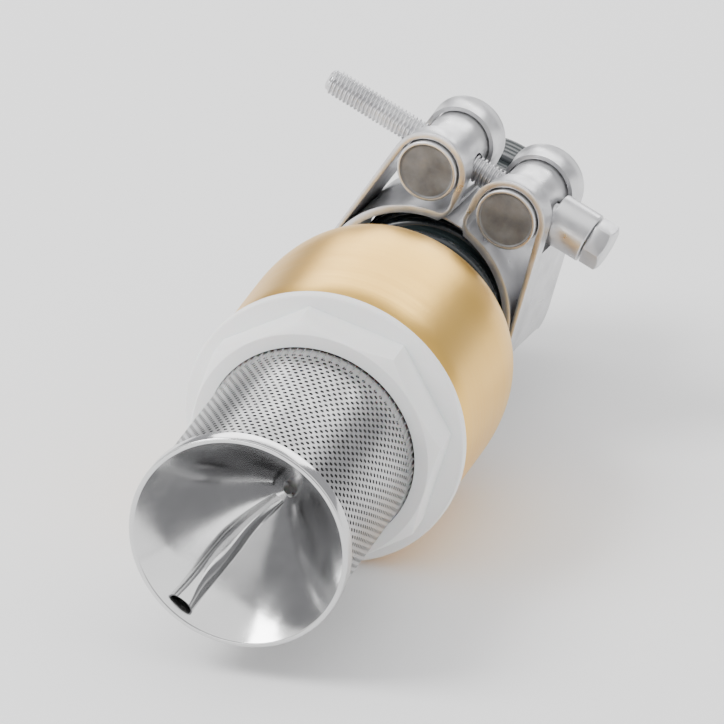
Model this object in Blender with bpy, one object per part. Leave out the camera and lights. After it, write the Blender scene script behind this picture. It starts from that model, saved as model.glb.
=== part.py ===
"""Foot valve for a suction hose: strainer, adapter, sprung poppet valve, hose tail and bolt clamp.

The valve lies along Y. The origin is the centre of the hose's cut face and the strainer points to
-Y. Angles round the valve are counted from +Z towards +X. The strainer, the poppet and the clamp
bolt are each built about an empty on their own axis.
"""

import math

import bmesh
import bpy
from mathutils import Vector

MM = 0.001
GAP = 0.3 * MM  # between faces that meet on the real valve
SIDES = 36  # facets round the large turned pieces
SMALL_SIDES = 18  # facets round stems, bolts and small bores
CHAMFER = 0.4 * MM

# Pipe threads, the same at both ends of the body
THREAD_RADIUS = 16.6 * MM
THREAD_RUNOUT = 1.0 * MM  # free depth past the end of a screwed spigot

# Hose end
HOSE_STUB = 56.0 * MM
HOSE_WALL = 2.0 * MM
SPIRAL_HEIGHT = 0.5 * MM
SPIRAL_WIDTH = 2.4 * MM
SPIRAL_PITCH = 5.6 * MM
SPIRAL_INSET = 1.6 * MM  # from the hose's ends to the spiral's
HOSE_BUTT = 0.4 * MM  # from the tail's hexagon to the hose

# Hose tail
BARB_RADIUS = 13.0 * MM
BARB_HEIGHT = 1.0 * MM
BARB_PITCH = 7.2 * MM
BARB_COUNT = 5
BARB_LAND = 1.2 * MM
TAIL_BORE_RADIUS = 10.0 * MM
TAIL_HEX_FLATS = 34.0 * MM
TAIL_HEX_LENGTH = 2.8 * MM
TAIL_FLANGE_THICKNESS = 1.2 * MM
TAIL_FLANGE_LAND = 2.6 * MM  # width of the flange's seat outside the thread
TAIL_GASKET_THICKNESS = 1.0 * MM
TAIL_THREAD_DEPTH = 6.5 * MM
SPIGOT_WALL = 2.9 * MM

# Body
BODY_LENGTH = 36.5 * MM
BODY_WALL = 4.4 * MM  # at the front, outside the seat bush
BODY_BELLY = 0.2 * MM  # how far the barrel swells past its front edge
BODY_SHOULDER = 12.0 * MM  # length of the rounded shoulder
BODY_REAR_LAND = 5.8 * MM  # width of the rear face outside the thread
CHAMBER_WALL = 3.5 * MM
LEDGE_THICKNESS = 1.6 * MM
LEDGE_LAND = 2.3 * MM  # width of the ledge that the O-ring lies on
CAGE_LAND = 1.6 * MM  # width of the step that the guide cage sits on
CHAMBER_SLOPE = 2.4 * MM

# Seat bush, screwed into the front of the body
BUSH_WALL = 3.6 * MM
BUSH_THREAD_DEPTH = 10.2 * MM
COUNTERBORE_DEPTH = 2.0 * MM
COUNTERBORE_LAND = 2.1 * MM
SEAT_RADIUS = 12.5 * MM
SEAT_WALL = 3.4 * MM
SEAT_NOSE_WIDTH = 1.1 * MM
SEAT_NOSE_HEIGHT = 0.9 * MM
O_RING_THICKNESS = 1.6 * MM

# Poppet
LIFT = 5.0 * MM
STEM_RADIUS = 2.0 * MM
SEAL_OVERLAP = 0.6 * MM  # seal past the outside of the seat's nose
SEAL_THICKNESS = 2.0 * MM
DISC_THICKNESS = 2.2 * MM
HUB_RADIUS = 3.7 * MM  # boss that the seal fits round
SPRING_BOSS_RADIUS = 5.6 * MM
SPRING_BOSS_HEIGHT = 1.0 * MM
COLLAR_RADIUS = 3.2 * MM
COLLAR_THICKNESS = 1.0 * MM
WASHER_CLEARANCE = 3.0 * MM  # all round, inside the seat
WASHER_THICKNESS = 1.3 * MM
NUT_FLATS = 7.0 * MM
NUT_THICKNESS = 3.0 * MM
STEM_PROUD = 1.2 * MM

# Spring
SPRING_WIRE = 1.0 * MM
SPRING_CLEARANCE = 0.4 * MM  # round the disc's boss
SPRING_TURNS = 4.5
SPRING_DEAD_TURNS = 0.75
SPRING_DEAD_PITCH = 1.1 * MM

# Guide cage
CAGE_RING_THICKNESS = 2.0 * MM
CAGE_RING_WIDTH = 2.0 * MM
CAGE_DEPTH = 8.0 * MM
CAGE_ARM_WIDTH = 3.0 * MM
CAGE_ARM_THICKNESS = 2.0 * MM
CAGE_ARMS = 4
CAGE_HUB_WALL = 1.5 * MM

# Strainer and its adapter
STRAINER_LENGTH = 41.0 * MM
TUBE_RADIUS = 19.3 * MM
SHEET = 0.6 * MM
TUBE_SOCKET = 5.0 * MM
SOCKET_WALL = 2.65 * MM  # from the tube's groove to the middle of a flat
OCTAGON_LENGTH = 8.0 * MM
OCTAGON_ANGLE = math.radians(16.5)
OCTAGON_BEVEL = 1.6 * MM
FLANGE_THICKNESS = 2.2 * MM
FLANGE_OVERHANG = 1.0 * MM  # past the front edge of the body
ADAPTER_BORE_RADIUS = 13.5 * MM

# Cone in the strainer's end, with a folded pleat
CONE_MOUTH_RADIUS = 18.4 * MM
CONE_ANGLE = math.radians(35.6)
CONE_SHEET = 0.5 * MM
CONE_TIP_RADIUS = 0.8 * MM
LIP_SHEET = 0.6 * MM
LIP_LENGTH = 2.2 * MM
PLEAT_ANGLE = math.radians(218.0)
PLEAT_WIDTH_IN = 2.4 * MM
PLEAT_WIDTH_OUT = 4.2 * MM
PLEAT_HEIGHT = 2.8 * MM

# Bolt clamp
CLAMP_SETBACK = 21.0 * MM  # from the hose's front end to the middle of the band
CLAMP_ANGLE = math.radians(24.0)
CLAMP_SKEW = math.radians(5.0)  # the band sits a little askew on the soft hose
BAND_WIDTH = 20.0 * MM
BAND_SHEET = 0.8 * MM
BRIDGE_SHEET = 0.4 * MM
BRIDGE_WIDTH = 18.0 * MM
BRIDGE_HALF_ANGLE = math.radians(38.0)
TRUNNION_RADIUS = 5.8 * MM
TRUNNION_LENGTH = 21.6 * MM
TRUNNION_SPACING = 17.1 * MM
TRUNNION_HEIGHT = 25.2 * MM  # above the valve's axis
BOLT_RADIUS = 2.5 * MM
BOLT_TAIL = 20.0 * MM  # thread that stands out past the far trunnion
BOLT_HEAD_FLATS = 8.0 * MM
BOLT_HEAD_HEIGHT = 3.5 * MM
SPACER_RADIUS = 4.8 * MM
SPACER_LENGTH = 7.6 * MM
WELD_ARC = math.radians(16.0)
WELD_OVERLAP = 0.2 * MM

# Radii that follow from the sizes above
thread_bore = THREAD_RADIUS + GAP
bush_radius = thread_bore + BUSH_WALL
bush_pocket = bush_radius + GAP
body_front_radius = bush_pocket + BODY_WALL
body_radius = body_front_radius + BODY_BELLY
flange_radius = body_front_radius + FLANGE_OVERHANG
body_rear_radius = thread_bore + BODY_REAR_LAND
chamber_radius = body_radius - CHAMBER_WALL
ledge_radius = bush_pocket - LEDGE_LAND
cage_pocket = thread_bore + CAGE_LAND
spigot_bore = THREAD_RADIUS - GAP - SPIGOT_WALL
hose_bore = BARB_RADIUS + GAP
hose_radius = hose_bore + HOSE_WALL
spiral_inner = hose_radius + GAP
spiral_outer = spiral_inner + SPIRAL_HEIGHT
stem_bore = STEM_RADIUS + GAP
seal_radius = SEAT_RADIUS + SEAT_NOSE_WIDTH + SEAL_OVERLAP
cage_leg_outer = spigot_bore - 1.4 * GAP
cage_leg_inner = cage_leg_outer - CAGE_ARM_THICKNESS
groove_outer = TUBE_RADIUS + GAP
groove_inner = TUBE_RADIUS - SHEET - GAP
octagon_apothem = groove_outer + SOCKET_WALL
skew_room = BAND_WIDTH / 2 * math.sin(CLAMP_SKEW)
bridge_inner = spiral_outer / math.cos(CLAMP_SKEW) + skew_room + GAP
band_inner = bridge_inner + BRIDGE_SHEET + GAP
band_middle = band_inner + BAND_SHEET / 2

# Places along the valve's axis, from the hose's cut face forwards
hose_front = -HOSE_STUB
tail_hex_rear = hose_front - HOSE_BUTT
tail_hex_front = tail_hex_rear - TAIL_HEX_LENGTH
tail_flange_front = tail_hex_front - TAIL_FLANGE_THICKNESS
body_rear = tail_flange_front - TAIL_GASKET_THICKNESS - 2 * GAP
tail_thread_floor = body_rear - TAIL_THREAD_DEPTH
cage_ring_rear = tail_thread_floor - GAP
cage_ring_front = cage_ring_rear - CAGE_RING_THICKNESS
cage_rear = cage_ring_front + CAGE_DEPTH
cage_arm_front = cage_rear - CAGE_ARM_THICKNESS
body_front = body_rear - BODY_LENGTH
bush_front = body_front + GAP
counterbore_floor = bush_front + COUNTERBORE_DEPTH
bush_thread_floor = counterbore_floor + BUSH_THREAD_DEPTH
seat_wall_rear = bush_thread_floor + SEAT_WALL
seat = seat_wall_rear + SEAT_NOSE_HEIGHT
o_ring_front = seat_wall_rear - O_RING_THICKNESS + GAP
bush_rear = o_ring_front - GAP
ledge_front = o_ring_front + O_RING_THICKNESS + GAP
adapter_seat = body_front - GAP
clamp_middle = hose_front + CLAMP_SETBACK

# Places along the poppet, from the seat backwards
seal_front = GAP
seal_rear = seal_front + SEAL_THICKNESS
disc_front = seal_rear + GAP
disc_rear = disc_front + DISC_THICKNESS
spring_boss_rear = disc_rear + SPRING_BOSS_HEIGHT
collar_front = spring_boss_rear + GAP
collar_rear = collar_front + COLLAR_THICKNESS
washer_rear = seal_front - GAP
washer_front = washer_rear - WASHER_THICKNESS
nut_rear = washer_front - GAP
nut_front = nut_rear - NUT_THICKNESS
cage_hub_front = seat + collar_rear + LIFT + GAP

BRASS = ((0.72, 0.52, 0.24), 0.32, 1.0)
NYLON = ((0.86, 0.85, 0.80), 0.45, 0.0)
STAINLESS = ((0.72, 0.73, 0.75), 0.28, 1.0)
SPRING_STEEL = ((0.62, 0.63, 0.65), 0.30, 1.0)
ZINC = ((0.70, 0.71, 0.72), 0.38, 1.0)
RUBBER = ((0.03, 0.03, 0.03), 0.70, 0.0)
FIBRE = ((0.36, 0.07, 0.05), 0.75, 0.0)
HOSE_PVC = ((0.02, 0.04, 0.04), 0.35, 0.0)
SPIRAL_PVC = ((0.01, 0.015, 0.02), 0.30, 0.0)


def clear_scene():
    for old in list(bpy.data.objects):
        bpy.data.objects.remove(old, do_unlink=True)


def axis_empty(name, location, turn=0.0, skew=0.0, parent=None):
    """An empty that carries the pieces built about one axis, skewed about Z before its turn."""
    empty = bpy.data.objects.new(name, None)
    empty.location = location
    empty.rotation_mode = "ZYX"
    empty.rotation_euler = (0.0, turn, -skew)
    empty.parent = parent
    bpy.context.scene.collection.objects.link(empty)
    return empty


def new_object(name, shape, parent=None, rotation=(0.0, 0.0, 0.0), location=(0.0, 0.0, 0.0)):
    """Turn a bmesh into an object, with its faces pointing out."""
    bmesh.ops.recalc_face_normals(shape, faces=shape.faces)
    mesh = bpy.data.meshes.new(name)
    shape.to_mesh(mesh)
    shape.free()
    piece = bpy.data.objects.new(name, mesh)
    piece.parent = parent
    piece.rotation_euler = rotation
    piece.location = location
    bpy.context.scene.collection.objects.link(piece)
    return piece


def finish(piece, look):
    """Give a piece its own material and smooth its round faces."""
    colour, roughness, metallic = look
    material = bpy.data.materials.new(piece.name)
    material.use_nodes = True
    shader = material.node_tree.nodes["Principled BSDF"]
    shader.inputs["Base Color"].default_value = (*colour, 1.0)
    shader.inputs["Roughness"].default_value = roughness
    shader.inputs["Metallic"].default_value = metallic
    piece.data.materials.append(material)
    piece.data.shade_smooth()
    piece.data.set_sharp_from_angle(angle=math.radians(30))
    return piece


def combine(piece, other, operation):
    """Cut, join or intersect a piece with a guide that stays out of the model."""
    other.hide_render = True
    other.display_type = "WIRE"
    boolean = piece.modifiers.new(other.name, "BOOLEAN")
    boolean.object = other
    boolean.operation = operation
    boolean.solver = "EXACT"


def ring_of_rows(rows):
    """A closed skin through rows of points, where the last row joins the first."""
    shape = bmesh.new()
    grid = [[shape.verts.new(point) for point in row] for row in rows]
    for row, after in zip(grid, grid[1:] + grid[:1]):
        for left in range(len(row)):
            right = (left + 1) % len(row)
            shape.faces.new((row[left], row[right], after[right], after[left]))
    return shape


def turned(profile, sides=SIDES):
    """A lathe-turned solid: a closed outline of (radius, y) swept round Y."""
    rows = [
        [
            (radius * math.sin(turn), y, radius * math.cos(turn))
            for turn in (2 * math.pi * side / sides for side in range(sides))
        ]
        for radius, y in profile
    ]
    shape = ring_of_rows(rows)
    bmesh.ops.remove_doubles(shape, verts=shape.verts, dist=MM / 1000)
    return shape


def washer(inner, outer, front, rear, sides=SIDES):
    return turned([(inner, front), (outer, front), (outer, rear), (inner, rear)], sides)


def prism(flats, count, front, rear, angle=0.0):
    """A bar with flat sides, measured across the flats, with one flat facing the angle."""
    corner = flats / 2 / math.cos(math.pi / count)
    shape = bmesh.new()
    rings = []
    for y in (front, rear):
        ring = []
        for side in range(count):
            turn = angle + math.pi * (2 * side + 1) / count
            ring.append(shape.verts.new((corner * math.sin(turn), y, corner * math.cos(turn))))
        rings.append(ring)
    for side in range(count):
        after = (side + 1) % count
        shape.faces.new((rings[0][side], rings[0][after], rings[1][after], rings[1][side]))
    shape.faces.new(rings[0])
    shape.faces.new(rings[1])
    return shape


def box(low, high):
    """A block between two opposite corners."""
    shape = bmesh.new()
    bmesh.ops.create_cube(shape, size=1.0)
    middle = (Vector(low) + Vector(high)) / 2
    size = Vector(high) - Vector(low)
    for vertex in shape.verts:
        vertex.co = middle + Vector(a * b for a, b in zip(vertex.co, size))
    return shape


def swept(path, section):
    """A bar along an open path; section(point, index) gives the ring of points there."""
    shape = bmesh.new()
    rings = [[shape.verts.new(corner) for corner in section(point)] for point in path]
    for ring, after in zip(rings, rings[1:]):
        for left in range(len(ring)):
            right = (left + 1) % len(ring)
            shape.faces.new((ring[left], ring[right], after[right], after[left]))
    shape.faces.new(rings[0])
    shape.faces.new(rings[-1])
    return shape


# ---- hose end ----


def build_hose():
    hose = new_object("hose_end", washer(hose_bore, hose_radius, hose_front, 0.0))
    finish(hose, HOSE_PVC)


def build_hose_spiral():
    """The hard spiral that stiffens the hose, a flat rib wound on its wall."""
    start = hose_front + SPIRAL_INSET + SPIRAL_WIDTH / 2
    end = -SPIRAL_INSET - SPIRAL_WIDTH / 2
    steps_per_turn = 22
    steps = round((end - start) / SPIRAL_PITCH * steps_per_turn)
    turn_per_step = 2 * math.pi / steps_per_turn

    def section(step):
        turn = step * turn_per_step
        middle = start + SPIRAL_PITCH * step / steps_per_turn
        corners = (
            (spiral_inner, -SPIRAL_WIDTH / 2),
            (spiral_outer, -SPIRAL_WIDTH / 4),
            (spiral_outer, SPIRAL_WIDTH / 4),
            (spiral_inner, SPIRAL_WIDTH / 2),
        )
        return [(r * math.sin(turn), middle + y, r * math.cos(turn)) for r, y in corners]

    finish(new_object("hose_spiral", swept(range(steps + 1), section)), SPIRAL_PVC)


# ---- hose tail ----


def build_hose_tail():
    """Brass tail: screwed spigot, flange, hexagon and barbs, bored through."""
    seat_radius = thread_bore + TAIL_FLANGE_LAND
    spigot_front = tail_thread_floor + THREAD_RUNOUT / 2
    barb_root = BARB_RADIUS - BARB_HEIGHT
    neck = tail_hex_rear + BARB_LAND
    profile = [
        (spigot_bore, spigot_front),
        (THREAD_RADIUS - CHAMFER, spigot_front),
        (THREAD_RADIUS, spigot_front + CHAMFER),
        (THREAD_RADIUS, tail_flange_front),
        (seat_radius, tail_flange_front),
        (seat_radius, tail_hex_front),
        (THREAD_RADIUS, tail_hex_front),
        (THREAD_RADIUS, tail_hex_rear),
        (barb_root, tail_hex_rear),
        (barb_root, neck),
    ]
    for barb in range(BARB_COUNT):
        crest = neck + BARB_PITCH * barb
        profile.append((BARB_RADIUS, crest + CHAMFER))
        profile.append((BARB_RADIUS, crest + BARB_LAND))
        profile.append((barb_root, crest + BARB_PITCH))
    bore_step = cage_rear + THREAD_RUNOUT + LIFT / 2
    profile += [
        (TAIL_BORE_RADIUS, neck + BARB_PITCH * BARB_COUNT),
        (TAIL_BORE_RADIUS, bore_step + spigot_bore - TAIL_BORE_RADIUS),
        (spigot_bore, bore_step),
    ]
    tail = new_object("hose_tail", turned(profile))
    hexagon = new_object("tail_hexagon", prism(TAIL_HEX_FLATS, 6, tail_hex_front, tail_hex_rear))
    bore = new_object(
        "tail_hexagon_bore",
        washer(0.0, THREAD_RADIUS - SPIGOT_WALL / 2, tail_hex_front - GAP, tail_hex_rear + GAP),
    )
    combine(hexagon, bore, "DIFFERENCE")
    combine(tail, hexagon, "UNION")
    finish(tail, BRASS)


def build_tail_gasket():
    inner = THREAD_RADIUS + GAP
    outer = thread_bore + TAIL_FLANGE_LAND - GAP
    shape = washer(inner, outer, body_rear + GAP, body_rear + GAP + TAIL_GASKET_THICKNESS)
    finish(new_object("tail_gasket", shape), FIBRE)


# ---- body ----


def barrel_outline():
    """The barrel's outside, from its front edge round the shoulder to its rear face."""
    outline = [
        (body_front_radius - CHAMFER, body_front),
        (body_front_radius, body_front + CHAMFER),
    ]
    shoulder_front = body_rear - BODY_SHOULDER
    for share in (0.5, 1.0):
        y = body_front + (shoulder_front - body_front) * share
        outline.append((body_front_radius + BODY_BELLY * math.sin(share * math.pi / 2), y))
    drop = body_radius - body_rear_radius
    steps = 5
    for step in range(1, steps + 1):
        turn = step / steps * math.pi / 2
        outline.append(
            (body_radius - drop * (1 - math.cos(turn)), shoulder_front + BODY_SHOULDER * math.sin(turn))
        )
    return outline


def build_body():
    """Barrel: a pocket for the seat bush, an O-ring ledge, the chamber and the tail's thread."""
    ledge_rear = ledge_front + LEDGE_THICKNESS
    pocket_front = cage_ring_front - GAP
    inside = [
        (thread_bore, body_rear),
        (thread_bore, tail_thread_floor),
        (cage_pocket, tail_thread_floor),
        (cage_pocket, pocket_front),
        (chamber_radius, pocket_front - CHAMBER_SLOPE),
        (chamber_radius, ledge_rear + CHAMBER_SLOPE),
        (ledge_radius, ledge_rear),
        (ledge_radius, ledge_front),
        (bush_pocket, ledge_front),
        (bush_pocket, body_front),
    ]
    finish(new_object("valve_body", turned(barrel_outline() + inside)), BRASS)


def build_seat_bush():
    """Brass bush: female thread for the adapter in front, raised seat for the poppet behind."""
    nose = SEAT_RADIUS + SEAT_NOSE_WIDTH
    core = ledge_radius - GAP
    counterbore = thread_bore + COUNTERBORE_LAND
    profile = [
        (counterbore, bush_front),
        (bush_radius, bush_front),
        (bush_radius, bush_rear),
        (core, bush_rear),
        (core, seat_wall_rear),
        (nose + SEAT_NOSE_HEIGHT, seat_wall_rear),
        (nose, seat),
        (SEAT_RADIUS, seat),
        (SEAT_RADIUS, bush_thread_floor),
        (thread_bore, bush_thread_floor),
        (thread_bore, counterbore_floor),
        (counterbore, counterbore_floor),
    ]
    finish(new_object("seat_bush", turned(profile)), BRASS)


def build_o_ring():
    """O-ring between the seat bush and the body's ledge."""
    radius = O_RING_THICKNESS / 2
    middle = (ledge_radius + bush_pocket) / 2
    steps = 8
    profile = []
    for step in range(steps):
        turn = 2 * math.pi * step / steps
        y = o_ring_front + radius + radius * math.sin(turn)
        profile.append((middle + radius * math.cos(turn), y))
    finish(new_object("body_o_ring", turned(profile)), RUBBER)


def cage_arm(turn):
    """One arm of the cage: in from the ring, back along the spigot's bore, then in to the hub."""
    outline = [
        (cage_pocket - GAP - CAGE_RING_WIDTH / 2, cage_ring_front),
        (cage_leg_inner, cage_ring_front),
        (cage_leg_inner, cage_arm_front),
        (stem_bore + CAGE_HUB_WALL / 2, cage_arm_front),
        (stem_bore + CAGE_HUB_WALL / 2, cage_rear),
        (cage_leg_outer, cage_rear),
        (cage_leg_outer, cage_ring_rear),
        (cage_pocket - GAP - CAGE_RING_WIDTH / 2, cage_ring_rear),
    ]
    shape = bmesh.new()
    layers = []
    for side in (-CAGE_ARM_WIDTH / 2, CAGE_ARM_WIDTH / 2):
        layer = []
        for radius, y in outline:
            across = side * math.cos(turn) + radius * math.sin(turn)
            up = radius * math.cos(turn) - side * math.sin(turn)
            layer.append(shape.verts.new((across, y, up)))
        layers.append(layer)
    for left in range(len(outline)):
        right = (left + 1) % len(outline)
        shape.faces.new((layers[0][left], layers[0][right], layers[1][right], layers[1][left]))
    shape.faces.new(layers[0])
    shape.faces.new(layers[1])
    return shape


def build_guide_cage():
    """Moulded cage that guides the stem and backs the spring, seated on the body's rear step."""
    ring_outer = cage_pocket - GAP
    shape = washer(ring_outer - CAGE_RING_WIDTH, ring_outer, cage_ring_front, cage_ring_rear)
    cage = new_object("guide_cage", shape)
    hub = new_object(
        "cage_hub",
        washer(stem_bore, stem_bore + CAGE_HUB_WALL, cage_hub_front, cage_rear, SMALL_SIDES),
    )
    for arm in range(CAGE_ARMS):
        turn = 2 * math.pi * arm / CAGE_ARMS + math.pi / 4
        combine(cage, new_object(f"cage_arm_{arm + 1}", cage_arm(turn)), "UNION")
    combine(cage, hub, "UNION")
    finish(cage, NYLON)


# ---- poppet ----


def build_poppet(axis):
    """Stem with its collar, disc, seal, washer and nut, which lift together."""
    washer_radius = SEAT_RADIUS - WASHER_CLEARANCE
    stem_front = nut_front - STEM_PROUD
    stem_rear = cage_rear - seat + STEM_PROUD
    stem = turned(
        [
            (0.0, stem_front),
            (STEM_RADIUS, stem_front),
            (STEM_RADIUS, collar_front),
            (COLLAR_RADIUS, collar_front),
            (COLLAR_RADIUS, collar_rear),
            (STEM_RADIUS, collar_rear),
            (STEM_RADIUS, stem_rear),
            (0.0, stem_rear),
        ],
        SMALL_SIDES,
    )
    disc = turned(
        [
            (stem_bore, seal_front),
            (HUB_RADIUS, seal_front),
            (HUB_RADIUS, disc_front),
            (seal_radius, disc_front),
            (seal_radius, disc_rear - CHAMFER),
            (seal_radius - CHAMFER, disc_rear),
            (SPRING_BOSS_RADIUS, disc_rear),
            (SPRING_BOSS_RADIUS, spring_boss_rear),
            (stem_bore, spring_boss_rear),
        ]
    )
    seal = washer(HUB_RADIUS + GAP, seal_radius, seal_front, seal_rear)
    plate = washer(stem_bore, washer_radius, washer_front, washer_rear)
    finish(new_object("poppet_stem", stem, axis), STAINLESS)
    finish(new_object("poppet_disc", disc, axis), BRASS)
    finish(new_object("poppet_seal", seal, axis), RUBBER)
    finish(new_object("seal_washer", plate, axis), STAINLESS)
    nut = new_object("poppet_nut", prism(NUT_FLATS, 6, nut_front, nut_rear), axis)
    bore_shape = washer(0.0, stem_bore, nut_front - GAP, nut_rear + GAP, SMALL_SIDES)
    combine(nut, new_object("poppet_nut_bore", bore_shape, axis), "DIFFERENCE")
    finish(nut, STAINLESS)


def build_spring():
    """Coil spring with closed ends, from the back of the disc to the cage's arms."""
    front = seat + disc_rear + GAP + SPRING_WIRE / 2
    rear = cage_arm_front - GAP - SPRING_WIRE / 2
    coil_radius = SPRING_BOSS_RADIUS + SPRING_CLEARANCE + SPRING_WIRE / 2
    dead = SPRING_DEAD_TURNS * SPRING_DEAD_PITCH
    open_turns = SPRING_TURNS - 2 * SPRING_DEAD_TURNS
    open_pitch = (rear - front - 2 * dead) / open_turns
    steps_per_turn = 16
    wire_sides = 6

    def height(turns):
        if turns < SPRING_DEAD_TURNS:
            return front + turns * SPRING_DEAD_PITCH
        if turns > SPRING_TURNS - SPRING_DEAD_TURNS:
            return rear - (SPRING_TURNS - turns) * SPRING_DEAD_PITCH
        return front + dead + (turns - SPRING_DEAD_TURNS) * open_pitch

    def section(step):
        turns = step / steps_per_turn
        turn = 2 * math.pi * turns
        points = []
        for side in range(wire_sides):
            round_wire = 2 * math.pi * side / wire_sides
            r = coil_radius + SPRING_WIRE / 2 * math.cos(round_wire)
            y = height(turns) + SPRING_WIRE / 2 * math.sin(round_wire)
            points.append((r * math.sin(turn), y, r * math.cos(turn)))
        return points

    steps = round(SPRING_TURNS * steps_per_turn)
    finish(new_object("poppet_spring", swept(range(steps + 1), section)), SPRING_STEEL)


# ---- strainer ----


def build_adapter(axis):
    """White adapter: octagon with the tube's groove, round flange and screwed spigot."""
    octagon_rear = -FLANGE_THICKNESS
    octagon_front = octagon_rear - OCTAGON_LENGTH
    spigot_rear = bush_thread_floor - THREAD_RUNOUT - adapter_seat
    corner = octagon_apothem / math.cos(math.pi / 8)
    profile = [
        (ADAPTER_BORE_RADIUS, octagon_rear - GAP),
        (octagon_apothem - OCTAGON_BEVEL, octagon_rear - GAP),
        (flange_radius - CHAMFER, octagon_rear),
        (flange_radius, octagon_rear + CHAMFER),
        (flange_radius, -CHAMFER),
        (flange_radius - CHAMFER, 0.0),
        (THREAD_RADIUS, 0.0),
        (THREAD_RADIUS, spigot_rear - CHAMFER),
        (THREAD_RADIUS - CHAMFER, spigot_rear),
        (ADAPTER_BORE_RADIUS, spigot_rear),
    ]
    adapter = new_object("strainer_adapter", turned(profile), axis)
    octagon = new_object(
        "adapter_octagon",
        prism(2 * octagon_apothem, 8, octagon_front, octagon_rear + GAP, OCTAGON_ANGLE),
        axis,
    )
    bevel = new_object(
        "adapter_bevel",
        turned(
            [
                (0.0, octagon_front - GAP),
                (corner - OCTAGON_BEVEL - GAP, octagon_front - GAP),
                (corner + GAP, octagon_front + OCTAGON_BEVEL),
                (corner + GAP, 0.0),
                (0.0, 0.0),
            ]
        ),
        axis,
    )
    bore = new_object(
        "adapter_bore", washer(0.0, ADAPTER_BORE_RADIUS, octagon_front - GAP, GAP), axis
    )
    groove = new_object(
        "adapter_groove",
        washer(groove_inner, groove_outer, octagon_front - GAP, octagon_front + TUBE_SOCKET + GAP),
        axis,
    )
    combine(octagon, bevel, "INTERSECT")
    combine(octagon, bore, "DIFFERENCE")
    combine(octagon, groove, "DIFFERENCE")
    combine(adapter, octagon, "UNION")
    finish(adapter, NYLON)


def build_adapter_gasket():
    """Flat gasket in the seat bush's counterbore, pressed by the adapter's flange."""
    inner = THREAD_RADIUS + GAP
    outer = thread_bore + COUNTERBORE_LAND - GAP
    shape = washer(inner, outer, adapter_seat + GAP, counterbore_floor - GAP)
    finish(new_object("adapter_gasket", shape), RUBBER)


def build_tube(axis):
    front = -FLANGE_THICKNESS - OCTAGON_LENGTH - STRAINER_LENGTH + LIP_SHEET + GAP
    rear = -FLANGE_THICKNESS - OCTAGON_LENGTH + TUBE_SOCKET
    shape = washer(TUBE_RADIUS - SHEET, TUBE_RADIUS, front, rear)
    finish(new_object("strainer_tube", shape, axis), STAINLESS)


def build_cone(axis):
    """Sheet cone sunk into the tube's end, hooked over its edge, with one fold pleated inwards."""
    rim = -FLANGE_THICKNESS - OCTAGON_LENGTH - STRAINER_LENGTH
    lip_inner = TUBE_RADIUS + GAP
    lip_outer = lip_inner + LIP_SHEET
    slope = math.tan(CONE_ANGLE)
    sheet_across = CONE_SHEET / math.cos(CONE_ANGLE)
    stations = (0.05, 0.22, 0.5, 0.84, 0.93)
    tip_share = CONE_TIP_RADIUS / CONE_MOUTH_RADIUS

    def cone_point(share, outwards):
        radius = CONE_MOUTH_RADIUS * share
        return radius + outwards * sheet_across, rim + (CONE_MOUTH_RADIUS - radius) / slope

    def pleat_height(share):
        rise = min(1.0, (share - tip_share) / 0.25)
        fall = min(1.0, (1.0 - share) / 0.16)
        return PLEAT_HEIGHT * math.sin(max(0.0, min(rise, fall)) * math.pi / 2)

    shares = [tip_share + (1 - tip_share) * station for station in stations]
    inside = [(*cone_point(share, 0), share, 0) for share in [tip_share, *shares]]
    lip = [
        (CONE_MOUTH_RADIUS, rim),
        (lip_outer - LIP_SHEET / 2, rim),
        (lip_outer, rim + LIP_SHEET / 2),
        (lip_outer, rim + LIP_LENGTH),
        (lip_inner, rim + LIP_LENGTH),
        (lip_inner, rim + LIP_SHEET),
        (CONE_MOUTH_RADIUS + sheet_across - slope * LIP_SHEET, rim + LIP_SHEET),
    ]
    outside = [(*cone_point(share, 1), share, 1) for share in [*reversed(shares), tip_share]]
    stops = inside + [(radius, y, 1.0, 0) for radius, y in lip] + outside
    fold = (-1.0, -0.72, -0.36, 0.0, 0.36, 0.72, 1.0)
    plain = SIDES - len(fold)
    rows = []
    for radius, y, share, back in stops:
        width = PLEAT_WIDTH_IN + (PLEAT_WIDTH_OUT - PLEAT_WIDTH_IN) * share
        half = min(math.radians(40), width / 2 / max(radius, CONE_TIP_RADIUS))
        high = pleat_height(share)
        row = []
        for place in fold:
            narrowed = abs(place) * (1 + back * 2.4 * CONE_SHEET / width)
            rise = high * max(0.0, 1 - narrowed**2)
            turn = PLEAT_ANGLE + place * half
            r = radius - rise * math.cos(CONE_ANGLE)
            row.append((r * math.sin(turn), y - rise * math.sin(CONE_ANGLE), r * math.cos(turn)))
        for step in range(1, plain + 1):
            turn = PLEAT_ANGLE + half + (2 * math.pi - 2 * half) * step / (plain + 1)
            row.append((radius * math.sin(turn), y, radius * math.cos(turn)))
        rows.append(row)
    finish(new_object("strainer_cone", ring_of_rows(rows), axis), STAINLESS)


# ---- clamp ----


def strip(points, thickness, width):
    """Sheet bent along (x, z) points, of even thickness and centred on the clamp's middle."""
    ends = [Vector(point) for point in points]
    rows = []
    for index, point in enumerate(ends):
        before = ends[max(index - 1, 0)]
        after = ends[min(index + 1, len(ends) - 1)]
        along = (after - before).normalized()
        off = Vector((along.y, -along.x)) * thickness / 2
        inner = point - off
        outer = point + off
        rows.append(
            [
                (inner.x, -width / 2, inner.y),
                (outer.x, -width / 2, outer.y),
                (outer.x, width / 2, outer.y),
                (inner.x, width / 2, inner.y),
            ]
        )
    return swept(rows, list)


def arc(centre, radius, start, end, steps):
    """Points on a circle in the clamp's plane, at angles from +Z towards +X."""
    points = []
    for step in range(steps + 1):
        turn = start + (end - start) * step / steps
        points.append((centre[0] + radius * math.sin(turn), centre[1] + radius * math.cos(turn)))
    return points


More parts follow.
